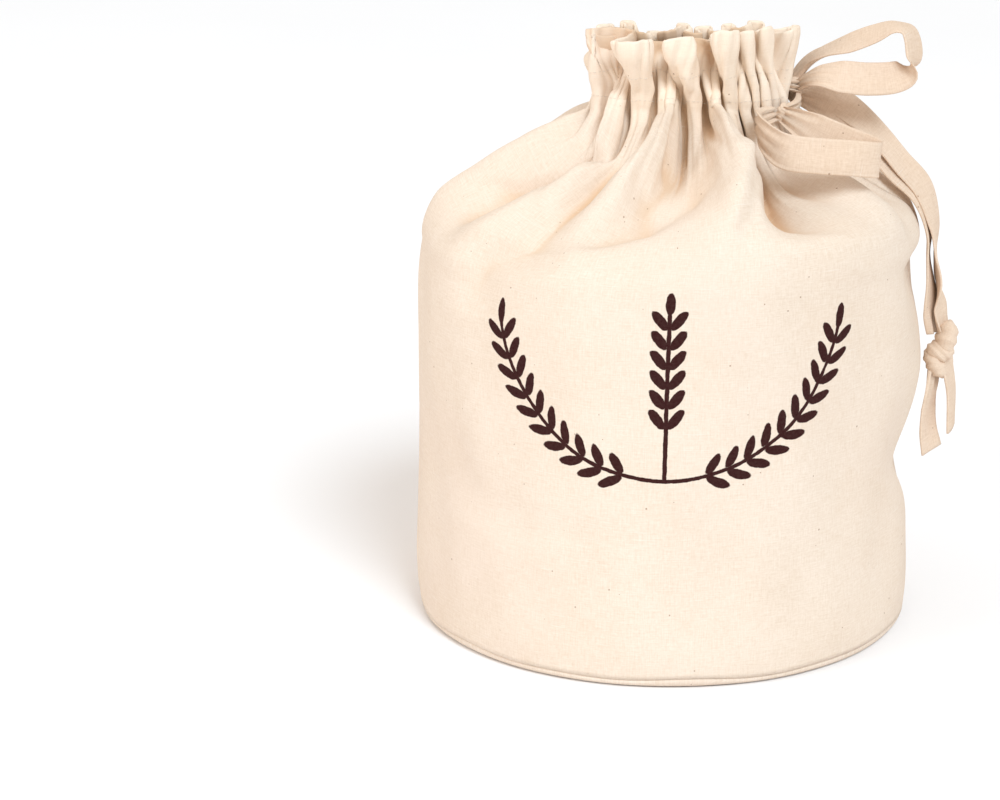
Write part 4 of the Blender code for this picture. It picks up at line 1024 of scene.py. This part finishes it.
def tape_mesh(rows, seed):
    """Points, faces and UVs of a flat tape along its run, gathered in pleats where it isn't open."""
    at, path, across, share = tape_line(rows)
    along = unit(np.gradient(path, axis=0))
    across = unit(across - (across * along).sum(axis=1, keepdims=True) * along)
    out = np.cross(along, across)
    v = np.array(TAPE_ACROSS)
    closed_by = np.sqrt(np.clip(1 - share, 0, 1))[:, None]
    run = at[:, None]
    waves = np.sin(run * TAPE_WAVE_RATE + TAPE_WAVE_LEAN * v + seed) * TAPE_WAVE
    twists = np.sin(run * TAPE_TWIST_RATE + seed) * TAPE_TWIST * v
    pleat_turn = 2 * math.pi * TAPE_PLEAT_COUNT * v + seed + run * TAPE_PLEAT_LEAN
    lift = waves + twists + TAPE_PLEAT * closed_by * np.cos(pleat_turn)
    past_edge = np.clip((np.abs(v) - TAPE_EDGE_AT) / TAPE_EDGE_WIDTH, 0, 1)
    edge = np.sqrt(np.clip(1 - past_edge**2, 0, 1))
    groove = TAPE_GROOVE * np.exp(-(((np.abs(v) - TAPE_GROOVE_AT) / TAPE_GROOVE_WIDTH) ** 2))
    half = TAPE_THICKNESS / 2 * (TAPE_THINNEST + (1 - TAPE_THINNEST) * edge) - groove
    reach = share[:, None, None] * TAPE_WIDTH / 2
    side = path[:, None, :] + across[:, None, :] * v[None, :, None] * reach
    top = side + out[:, None, :] * (lift + half)[..., None]
    bottom = side + out[:, None, :] * (lift - half)[..., None]
    ring = np.concatenate([top, bottom[:, ::-1]], axis=1)
    count, size = ring.shape[:2]
    points = ring.reshape(-1, 3)
    place = np.concatenate([v, v[::-1]]) * TAPE_WIDTH / 2
    uvs = np.stack(np.broadcast_arrays(place, run), axis=-1)
    faces = [tuple(range(size)), tuple(reversed(range((count - 1) * size, count * size)))]
    for ring_at in range(count - 1):
        low = ring_at * size
        for i in range(size):
            j = (i + 1) % size
            faces.append((low + j, low + i, low + size + i, low + size + j))
    return points, faces, uvs.reshape(-1, 2), at[-1]


def joined(meshes):
    """Several meshes as one: the points, faces and UVs that each begins with."""
    faces = []
    count = 0
    for mesh in meshes:
        faces += [tuple(i + count for i in face) for face in mesh[1]]
        count += len(mesh[0])
    return np.concatenate([mesh[0] for mesh in meshes]), faces, np.concatenate([mesh[2] for mesh in meshes])


def turn_mesh(turn):
    """One turn of tape round a knot, a closed ring of bunched cloth filled in the middle."""
    axle = unit(np.array(turn.axle, float))
    first = unit(np.cross(axle, TURN_UPRIGHT))
    second = np.cross(axle, first)
    rounds, across = TURN_SECTIONS, TURN_ACROSS
    angle = np.linspace(0, 2 * math.pi, rounds, endpoint=False)[:, None]
    v = np.linspace(-1, 1, across)[None, :]
    sway = np.sin(angle + turn.crease)
    crease = TURN_CREASE * np.cos(2 * math.pi * TURN_CREASE_COUNT * v + turn.crease + TURN_CREASE_SWAY * sway)
    swell = (1 - np.abs(v) ** TURN_FULLNESS) ** 0.5
    slope = TURN_SLOPE * sway
    girths = TURN_THINNEST + (1 - TURN_THINNEST) * swell
    long = turn.half_long * girths + crease * swell
    short = turn.half_short * girths + crease * swell
    centre = np.array([turn.x, turn.y, turn.z])
    points = (
        centre
        + first * (np.cos(angle) * long)[..., None]
        + second * (np.sin(angle) * short)[..., None]
        + axle * (v * turn.wide / 2 + slope)[..., None]
    )
    uvs = np.stack(np.broadcast_arrays(v * turn.wide / 2, angle * turn.half_short), axis=-1)
    caps = np.array([centre - axle * turn.wide / 2, centre + axle * turn.wide / 2])
    faces = []
    for i in range(rounds):
        j = (i + 1) % rounds
        faces.append((rounds * across, j * across, i * across))
        faces.append((rounds * across + 1, i * across + across - 1, j * across + across - 1))
        for k in range(across - 1):
            faces.append((i * across + k, j * across + k, j * across + k + 1, i * across + k + 1))
    points = np.concatenate([points.reshape(-1, 3), caps])
    uvs = np.concatenate([uvs.reshape(-1, 2), [(-turn.wide / 2, 0), (turn.wide / 2, 0)]])
    return points, faces, uvs


def tape_piece(name, runs):
    """Several runs of tape as one piece, and how long they are together."""
    meshes = [tape_mesh(run.points, run.seed) for run in runs]
    length = sum(mesh[3] for mesh in meshes)
    return new_piece(name, *joined(meshes), tape_material(), "tape"), length


def knot_piece(name, turns):
    return new_piece(name, *joined([turn_mesh(turn) for turn in turns]), tape_material(), "tape")


class Nodes:
    """A short way to write a material's nodes."""

    def __init__(self, name):
        self.material = bpy.data.materials.new(name)
        self.material.use_nodes = True
        self.tree = self.material.node_tree
        self.shader = self.tree.nodes["Principled BSDF"]

    def add(self, kind, **settings):
        node = self.tree.nodes.new(kind)
        for key, value in settings.items():
            setattr(node, key, value)
        return node

    def feed(self, socket, value):
        if isinstance(value, bpy.types.NodeSocket):
            self.tree.links.new(value, socket)
        else:
            socket.default_value = value

    def made(self, kind, values, **settings):
        """The output of a node whose first inputs are fed in order."""
        node = self.add(kind, **settings)
        for socket, value in zip(node.inputs, values):
            self.feed(socket, value)
        return node.outputs[0]

    def math(self, operation, *values, clamp=False):
        return self.made("ShaderNodeMath", values, operation=operation, use_clamp=clamp)

    def plus(self, first, second, clamp=False):
        return self.math("ADD", first, second, clamp=clamp)

    def less(self, first, second):
        return self.math("SUBTRACT", first, second)

    def times(self, first, second):
        return self.math("MULTIPLY", first, second)

    def over(self, first, second):
        return self.math("DIVIDE", first, second)

    def swing(self, value, amount):
        """A value about a half, made to swing about 0."""
        return self.times(self.less(value, 0.5), amount)

    def length(self, first, second):
        return self.math("SQRT", self.plus(self.math("POWER", first, 2.0), self.math("POWER", second, 2.0)))

    def noise(self, vector, scale, detail=2.0, rough=0.5):
        node = self.add("ShaderNodeTexNoise")
        for name, given in (("Vector", vector), ("Scale", scale), ("Detail", detail), ("Roughness", rough)):
            self.feed(node.inputs[name], given)
        return node.outputs[0]

    def drawn_out(self, vector, scale, detail):
        """Noise with a scale of its own for each axis."""
        scaled = self.made("ShaderNodeVectorMath", (vector, scale), operation="MULTIPLY")
        return self.noise(scaled, 1.0, detail)

    def between(self, value, low, high, start=0.0, end=1.0):
        """A smooth step from start to end as the value goes from low to high."""
        values = (value, low, high, start, end)
        return self.made("ShaderNodeMapRange", values, interpolation_type="SMOOTHSTEP")

    def mix(self, factor, first, second):
        node = self.add("ShaderNodeMix", data_type="RGBA")
        for socket, given in ((0, factor), (6, first), (7, second)):
            self.feed(node.inputs[socket], given)
        return node.outputs[2]

    def split(self, vector):
        node = self.add("ShaderNodeSeparateXYZ")
        self.feed(node.inputs[0], vector)
        return node.outputs[0], node.outputs[1]

    def bump(self, height, strength, depth):
        node = self.add("ShaderNodeBump")
        for name, given in (("Strength", strength), ("Distance", depth), ("Height", height)):
            self.feed(node.inputs[name], given)
        self.feed(self.shader.inputs["Normal"], node.outputs[0])

    def surface(self, colour, values):
        """Feeds the shader its colour, and sets the values that are the same all over."""
        self.feed(self.shader.inputs["Base Color"], colour)
        for name, value in values.items():
            self.shader.inputs[name].default_value = value


def opaque(colour):
    return (*colour, 1.0)


def sprig(nodes, along, aside, last, step, grain, stem_from):
    """A sprig of wheat: a stem with a pair of grains every step up to the last, and one at its tip."""
    cell = nodes.math("FLOOR", nodes.over(along, step))
    local = nodes.less(nodes.less(along, nodes.times(cell, step)), step * 0.5)
    mirrored = nodes.math("ABSOLUTE", aside)
    shifted = nodes.less(mirrored, grain.offset)
    cos, sin = math.cos(grain.lean), math.sin(grain.lean)
    long = nodes.plus(nodes.times(local, cos), nodes.times(shifted, sin))
    short = nodes.less(nodes.times(shifted, cos), nodes.times(local, sin))

    def oval(a, b):
        outward = nodes.length(nodes.over(a, grain.half_long), nodes.over(b, grain.half_short))
        return nodes.times(nodes.less(outward, 1.0), grain.half_short)

    before = nodes.math("LESS_THAN", cell, -0.5)
    beyond = nodes.math("GREATER_THAN", cell, last - 0.5)
    pair = nodes.plus(oval(long, short), nodes.math("MAXIMUM", before, beyond))
    tip = oval(nodes.less(along, last * step + grain.half_long * TIP_SHARE), aside)
    middle = (stem_from + last * step) / 2
    past = nodes.less(nodes.math("ABSOLUTE", nodes.less(along, middle)), last * step - middle)
    stem = nodes.math("MAXIMUM", nodes.less(mirrored, grain.stem), past)
    return nodes.math("MINIMUM", nodes.math("MINIMUM", pair, tip), stem)


def printed_ink(nodes, place):
    """How far a place lies inside the print, a wheat sprig in the middle and two that curve up round it."""
    wobble = nodes.swing(nodes.noise(place, INK_WOBBLE_SCALE, 3.0, 0.6), INK_WOBBLE)
    x, y = nodes.split(place)
    y = nodes.less(y, PRINT_MIDDLE_UP)
    side = nodes.math("ABSOLUTE", x)
    above = nodes.less(y, ARM_LIFT)
    turn = nodes.math("ARCTAN2", side, nodes.times(above, -1.0))
    along = nodes.less(nodes.times(turn, ARM_RADIUS), ARM_FIRST)
    aside = nodes.less(nodes.length(side, above), ARM_RADIUS)
    arm = sprig(nodes, along, aside, ARM_PAIRS, ARM_STEP, ARM_GRAIN, ARM_STEM_FROM)
    ear = sprig(nodes, nodes.less(y, EAR_LOW), x, EAR_PAIRS, EAR_STEP, EAR_GRAIN, EAR_STEM_FROM)
    distance = nodes.plus(nodes.math("MINIMUM", arm, ear), wobble)
    return nodes.between(distance, INK_BLUR, -INK_BLUR)


def woven(nodes, x, y, drift, pitch):
    """The height of a plain weave: each thread passes over one and under the next."""
    warp = nodes.math("SINE", nodes.times(nodes.plus(x, drift), math.pi / pitch))
    weft = nodes.math("SINE", nodes.times(nodes.plus(y, drift), math.pi / pitch))
    over = nodes.times(nodes.times(warp, weft), OVER_SHARE)
    warp_side = nodes.times(nodes.math("ABSOLUTE", warp), nodes.plus(over, UNDER_SHARE))
    weft_side = nodes.times(nodes.math("ABSOLUTE", weft), nodes.less(UNDER_SHARE, over))
    return nodes.times(nodes.plus(warp_side, weft_side), 0.5)


def specks(nodes, uv, sizes):
    """1 on a speck of seed husk and 0 elsewhere."""
    cells = nodes.add("ShaderNodeTexVoronoi", feature="F1")
    nodes.feed(cells.inputs["Vector"], uv)
    cells.inputs["Scale"].default_value = 1 / sizes.speck_spacing
    cells.inputs["Randomness"].default_value = 1.0
    chance, size = nodes.split(cells.outputs["Color"])
    reach = nodes.times(size, sizes.speck_size / sizes.speck_spacing)
    speck = nodes.math("LESS_THAN", cells.outputs["Distance"], reach)
    return nodes.times(speck, nodes.math("GREATER_THAN", chance, SPECK_SHARE))


def cloth_material(name, light, deep, printed=False):
    """Plain-woven unbleached cotton: threads, slubs, seed specks, uneven tint, painted shade deep in the
    folds, a painted glow of light on the ruffle and casing and, on the front, the print.

    It is made once, and found again by its name.
    """
    if name in bpy.data.materials:
        return bpy.data.materials[name]
    colours, sizes = bpy.context.scene.bag_colours, bpy.context.scene.bag_sizes
    nodes = Nodes(name)
    uv = nodes.add("ShaderNodeUVMap", uv_map="cloth").outputs[0]
    drift = nodes.swing(nodes.noise(uv, DRIFT_SCALE), DRIFT)
    x, y = nodes.split(uv)
    weave = woven(nodes, x, y, drift, sizes.thread_pitch)
    warp_streaks = nodes.drawn_out(uv, WARP_STREAK_SCALE, 2.0)
    weft_streaks = nodes.drawn_out(uv, WEFT_STREAK_SCALE, 2.0)
    streaks = nodes.times(nodes.plus(warp_streaks, weft_streaks), 0.5)
    slubs = nodes.between(nodes.drawn_out(uv, SLUB_SCALE, 1.0), SLUB_FROM, SLUB_TO)
    mottle = nodes.noise(uv, MOTTLE_SCALE, 3.0, 0.65)
    patches = nodes.noise(uv, PATCH_SCALE, 3.0, 0.55)
    tone = nodes.plus(nodes.swing(streaks, STREAK_TONE), nodes.swing(mottle, MOTTLE_TONE))
    tone = nodes.plus(tone, nodes.swing(patches, PATCH_TONE))
    tone = nodes.plus(tone, nodes.swing(weave, WEAVE_TONE))
    tone = nodes.plus(tone, MIDDLE_TONE, clamp=True)
    colour = nodes.mix(tone, opaque(light), opaque(deep))
    # Painted light: the ruffle and casing are made brighter and warmer than the wall, in place of light that
    # shines through and onto the thin cloth.
    doubled = nodes.between(y, SLOT_LOW - RUFFLE_GLOW_BELOW, SLOT_LOW + RUFFLE_GLOW_ABOVE, 0.0, RUFFLE_GLOW_TINT)
    # Painted shade: the canvas is darkened towards tan where the cloth lies sunk between folds, in place of
    # the shade that falls there.
    sunk = nodes.add("ShaderNodeAttribute", attribute_name="sunk").outputs["Fac"]
    painted_fold_shade = nodes.between(sunk, sizes.painted_fold_shade * PAINTED_SHADE_FROM, sizes.painted_fold_shade * PAINTED_SHADE_TO, 0.0, PAINTED_SHADE_TINT)
    blush = nodes.between(nodes.noise(uv, BLUSH_SCALE), BLUSH_FROM, BLUSH_TO, 0.0, BLUSH_TINT)
    # The tints mixed in: a painted glow of light on the ruffle and casing, painted shade deep in the folds,
    # then the blush, slubs and specks.
    for share, tint in (
        (doubled, colours.doubled),
        (painted_fold_shade, colours.painted_fold_shade),
        (blush, colours.blush),
        (nodes.times(slubs, SLUB_TINT), colours.slub),
        (nodes.times(specks(nodes, uv, sizes), SPECK_TINT), colours.speck),
    ):
        colour = nodes.mix(share, colour, opaque(tint))
    if printed:
        worn = nodes.between(nodes.plus(weave, mottle), *INK_WEAR)
        colour = nodes.mix(nodes.times(printed_ink(nodes, uv), worn), colour, opaque(colours.ink))
    height = nodes.plus(weave, nodes.times(streaks, STREAK_HEIGHT))
    nodes.bump(nodes.plus(height, nodes.times(slubs, SLUB_HEIGHT)), BUMP_STRENGTH, sizes.weave_depth)
    nodes.surface(colour, CLOTH_FINISH)
    return nodes.material


def canvas_material(printed=False):
    """The bag's canvas, plain, or with the front's print."""
    colours = bpy.context.scene.bag_colours
    name = "printed_canvas" if printed else "plain_canvas"
    return cloth_material(name, colours.canvas_light, colours.canvas_deep, printed)


def tape_material():
    """The tape's canvas, a little darker than the bag's."""
    colours = bpy.context.scene.bag_colours
    return cloth_material("tape_canvas", colours.tape_light, colours.tape_deep)


def thread_material():
    """Two-ply cotton sewing thread: slanting plies, a little fluff in its tone."""
    colours = bpy.context.scene.bag_colours
    nodes = Nodes("sewing_thread")
    uv = nodes.add("ShaderNodeUVMap", uv_map="cloth").outputs[0]
    x, y = nodes.split(uv)
    ply = nodes.math("SINE", nodes.times(nodes.plus(x, y), math.tau / STITCH_RADIUS))
    ply = nodes.plus(nodes.times(ply, 0.5), 0.5)
    tone = nodes.times(nodes.plus(ply, nodes.noise(uv, THREAD_FLUFF_SCALE)), 0.5)
    nodes.bump(ply, THREAD_BUMP, STITCH_RADIUS / 4)
    nodes.surface(nodes.mix(tone, opaque(colours.canvas_deep), opaque(colours.slub)), THREAD_FINISH)
    return nodes.material


def length_property(name, description, default):
    return FloatProperty(name=name, description=description, default=default, unit="LENGTH", precision=5)


def colour_property(name, description, default):
    return FloatVectorProperty(
        name=name, description=description, default=default, subtype="COLOR", size=3, min=0.0, max=1.0
    )


class BagSizes(bpy.types.PropertyGroup):
    """The bag's finer sizes."""

    cloth: length_property("Cloth", "Thickness of the canvas", 0.0008)
    ruffle: length_property("Ruffle", "Thickness of the doubled ruffle and casing", 0.0016)
    thread_pitch: length_property("Thread pitch", "From one thread to the next", 0.00062)
    weave_depth: length_property("Weave depth", "How deep the weave is", 0.00016)
    # How sunk a fold is where its painted shade is darkest.
    painted_fold_shade: length_property("Valley", "About how far a fold is sunk where it is darkest", 0.005)
    speck_spacing: length_property("Speck spacing", "Between seed specks", 0.0065)
    speck_size: length_property("Speck size", "Largest seed speck's radius", 0.00062)


class BagColours(bpy.types.PropertyGroup):
    """The bag's colours."""

    canvas_light: colour_property("Canvas, light", "The canvas where it is palest", (0.83, 0.712, 0.605))
    canvas_deep: colour_property("Canvas, deep", "The canvas between its threads", (0.72, 0.58, 0.455))
    tape_light: colour_property("Tape, light", "The tape where it is palest", (0.80, 0.64, 0.51))
    tape_deep: colour_property("Tape, deep", "The tape between its threads", (0.68, 0.51, 0.375))
    blush: colour_property("Blush", "A faint uneven tint", (0.80, 0.66, 0.57))
    slub: colour_property("Slub", "Thick places in the thread", (0.87, 0.79, 0.71))
    # Painted light: the brighter, warmer colour that the ruffle and casing are given.
    doubled: colour_property("Doubled canvas", "The doubled ruffle and casing", (0.99, 0.84, 0.68))
    # Painted shade: the tan that the canvas is darkened towards deep in a fold.
    painted_fold_shade: colour_property("Valley", "The canvas deep in a fold", (0.66, 0.44, 0.27))
    speck: colour_property("Speck", "Bits of seed husk", (0.28, 0.14, 0.07))
    ink: colour_property("Ink", "The print", (0.030, 0.0025, 0.0035))
    floor: colour_property("Floor", "The stage's floor", (0.96, 0.955, 0.97))


class BAG_OT_wall(bpy.types.Operator):
    """Makes the front and back panels, gathered at the neck."""

    bl_idname = "bag.wall"
    bl_label = "Wall cloth"

    def execute(self, context):
        sizes = context.scene.bag_sizes
        us, ups, every, places = wall_grid()
        out = way_out(places)
        doubled = sizes.ruffle / 2
        halves = [sizes.cloth / 2, doubled, doubled, sizes.ruffle * ROLL_SHARE, sizes.ruffle * EDGE_SHARE]
        half = np.interp(ups, THICKNESS_LEVELS, halves)
        sunk = how_sunk(places, out)
        grid = (us, ups, every, places, out, half, sunk)
        columns = np.arange(PANEL_COLUMNS + 1)
        front = cloth_piece("front_cloth", columns, *grid, canvas_material(True))
        back = cloth_piece("back_cloth", PANEL_COLUMNS + columns, *grid, canvas_material())
        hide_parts("panel_front")
        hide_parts("panel_back")
        rows = [stitched_row(up, ups, places, out, half) for up in (CASING_LOW_STITCH, CASING_HIGH_STITCH)]
        new_piece("casing_stitches", *joined(rows), thread_material(), "canvas")
        return {"FINISHED"}


class BAG_OT_base(bpy.types.Operator):
    """Makes the round base, turned up to the wall's seam."""

    bl_idname = "bag.base"
    bl_label = "Base"

    def execute(self, context):
        half = context.scene.bag_sizes.cloth / 2
        count = BASE_COLUMNS
        u = np.arange(count) / count
        seam = wall(u, np.zeros(count))
        rim = seam[:, :2]
        radius = np.linalg.norm(rim, axis=1, keepdims=True)
        way = rim / radius
        rings = []
        for row in BASE_RINGS:
            z = row.z + row.lift * (seam[:, 2] - BASE_SEAM_HEIGHT)
            rings.append(np.column_stack([way * (radius - row.inset), z]))
        middle = np.stack(rings)
        looped = np.concatenate([middle[:, -1:], middle, middle[:, :1]], axis=1)
        around = looped[:, 2:] - looped[:, :-2]
        out = unit(np.cross(around, np.gradient(middle, axis=0)))
        levels = len(rings)
        under = (middle + half * out).reshape(-1, 3)
        under[:, 2] = np.maximum(under[:, 2], 0)
        inside = (middle - half * out).reshape(-1, 3)
        faces = []
        for r in range(levels - 1):
            for i in range(count):
                j = (i + 1) % count
                faces.append((r * count + i, r * count + j, (r + 1) * count + j, (r + 1) * count + i))
        size = levels * count
        closed = faces + [tuple(i + size for i in reversed(face)) for face in faces]
        top = (levels - 1) * count
        for i in range(count):
            j = (i + 1) % count
            closed.append((top + i, top + j, top + j + size, top + i + size))
            closed.append((j, i, 2 * size))
            closed.append((i + size, j + size, 2 * size + 1))
        points = np.concatenate([under, inside, [(0, 0, 0), (0, 0, 2 * half)]])
        piece = new_piece("base_cloth", points, closed, points[:, :2], canvas_material(), "canvas")
        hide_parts("base")
        return {"FINISHED"}


class BAG_OT_bow(bpy.types.Operator):
    """Makes the bow: two loops of tape and the knot that holds them."""

    bl_idname = "bag.bow"
    bl_label = "Bow"

    def execute(self, context):
        loops, length = tape_piece("bow_loops", LOOP_RUNS)
        knot = knot_piece("bow_knot", BOW_TURNS)
        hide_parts("drawstring")
        return {"FINISHED"}


class BAG_OT_tails(bpy.types.Operator):
    """Makes the tape's two tails, the knot that joins them and the free ends."""

    bl_idname = "bag.tails"
    bl_label = "Tails"

    def execute(self, context):
        tails, length = tape_piece("tape_tails", TAIL_RUNS)
        knot = knot_piece("tail_knot", TAIL_TURNS)
        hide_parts("drawstring")
        return {"FINISHED"}


class BAG_OT_stage(bpy.types.Operator):
    """Makes the floor, the lights and the camera."""

    bl_idname = "bag.stage"
    bl_label = "Stage"

    def execute(self, context):
        scene = context.scene
        nodes = Nodes("pale_floor")
        grain = nodes.noise(nodes.add("ShaderNodeTexCoord").outputs["Object"], FLOOR_GRAIN_SCALE)
        tone = nodes.between(grain, FLOOR_GRAIN_FROM, FLOOR_GRAIN_TO)
        colour = scene.bag_colours.floor
        shade = [part * FLOOR_GRAIN_SHADE for part in colour]
        nodes.surface(nodes.mix(tone, opaque(colour), opaque(shade)), {"Roughness": FLOOR_ROUGHNESS})
        mesh = bpy.data.meshes.new("floor")
        corners = [(x * FLOOR_REACH, y * FLOOR_REACH, 0) for x, y in ((-1, -1), (1, -1), (1, 1), (-1, 1))]
        mesh.from_pydata(corners, [], [(0, 1, 2, 3)])
        mesh.materials.append(nodes.material)
        floor = bpy.data.objects.new("floor", mesh)
        scene.collection.objects.link(floor)
        floor.location.z = -FLOOR_DROP
        world = bpy.data.worlds.new("studio")
        world.use_nodes = True
        background = world.node_tree.nodes["Background"]
        background.inputs["Color"].default_value = opaque(WORLD_COLOUR)
        background.inputs["Strength"].default_value = WORLD_STRENGTH
        scene.world = world
        for lamp in LAMPS:
            light = bpy.data.lights.new(lamp.name, lamp.kind)
            light.energy = lamp.strength
            light.color = lamp.colour
            if lamp.kind == "SUN":
                light.angle = lamp.size
            else:
                light.shape = "DISK"
                light.size = lamp.size
            holder = bpy.data.objects.new(lamp.name, light)
            holder.location = lamp.place
            aim = LAMP_TARGET - Vector(lamp.place)
            holder.rotation_euler = aim.to_track_quat("-Z", "Y").to_euler()
            scene.collection.objects.link(holder)
        camera = bpy.data.cameras.new("photo_camera")
        camera.lens = CAMERA_LENS
        camera.sensor_width = CAMERA_SENSOR
        holder = bpy.data.objects.new("photo_camera", camera)
        holder.location = CAMERA_PLACE
        holder.rotation_euler = (math.pi / 2 - CAMERA_PITCH, 0.0, CAMERA_YAW)
        scene.collection.objects.link(holder)
        scene.camera = holder
        scene.view_settings.view_transform = "Standard"
        return {"FINISHED"}


STEPS = (BAG_OT_wall, BAG_OT_base, BAG_OT_bow, BAG_OT_tails, BAG_OT_stage)


class BAG_PT_panel(bpy.types.Panel):
    """Lists the bag's sizes, colours and pieces."""

    bl_idname = "BAG_PT_panel"
    bl_label = "Bread bag"
    bl_space_type = "VIEW_3D"
    bl_region_type = "UI"
    bl_category = "Bread bag"

    def draw(self, context):
        for group in (context.scene.bag_sizes, context.scene.bag_colours):
            for name in group.__annotations__:
                self.layout.prop(group, name)
        for step in STEPS:
            self.layout.operator(step.bl_idname)


CLASSES = (BagSizes, BagColours, *STEPS, BAG_PT_panel)


def register():
    for kind in CLASSES:
        bpy.utils.register_class(kind)
    bpy.types.Scene.bag_sizes = PointerProperty(type=BagSizes)
    bpy.types.Scene.bag_colours = PointerProperty(type=BagColours)


def unregister():
    del bpy.types.Scene.bag_colours
    del bpy.types.Scene.bag_sizes
    for kind in reversed(CLASSES):
        bpy.utils.unregister_class(kind)


def main():
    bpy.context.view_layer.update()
    register()
    bpy.ops.bag.base()
    bpy.ops.bag.wall()
    bpy.ops.bag.bow()
    bpy.ops.bag.tails()
    bpy.ops.bag.stage()
    bpy.context.view_layer.update()


if __name__ == "__main__":
    main()
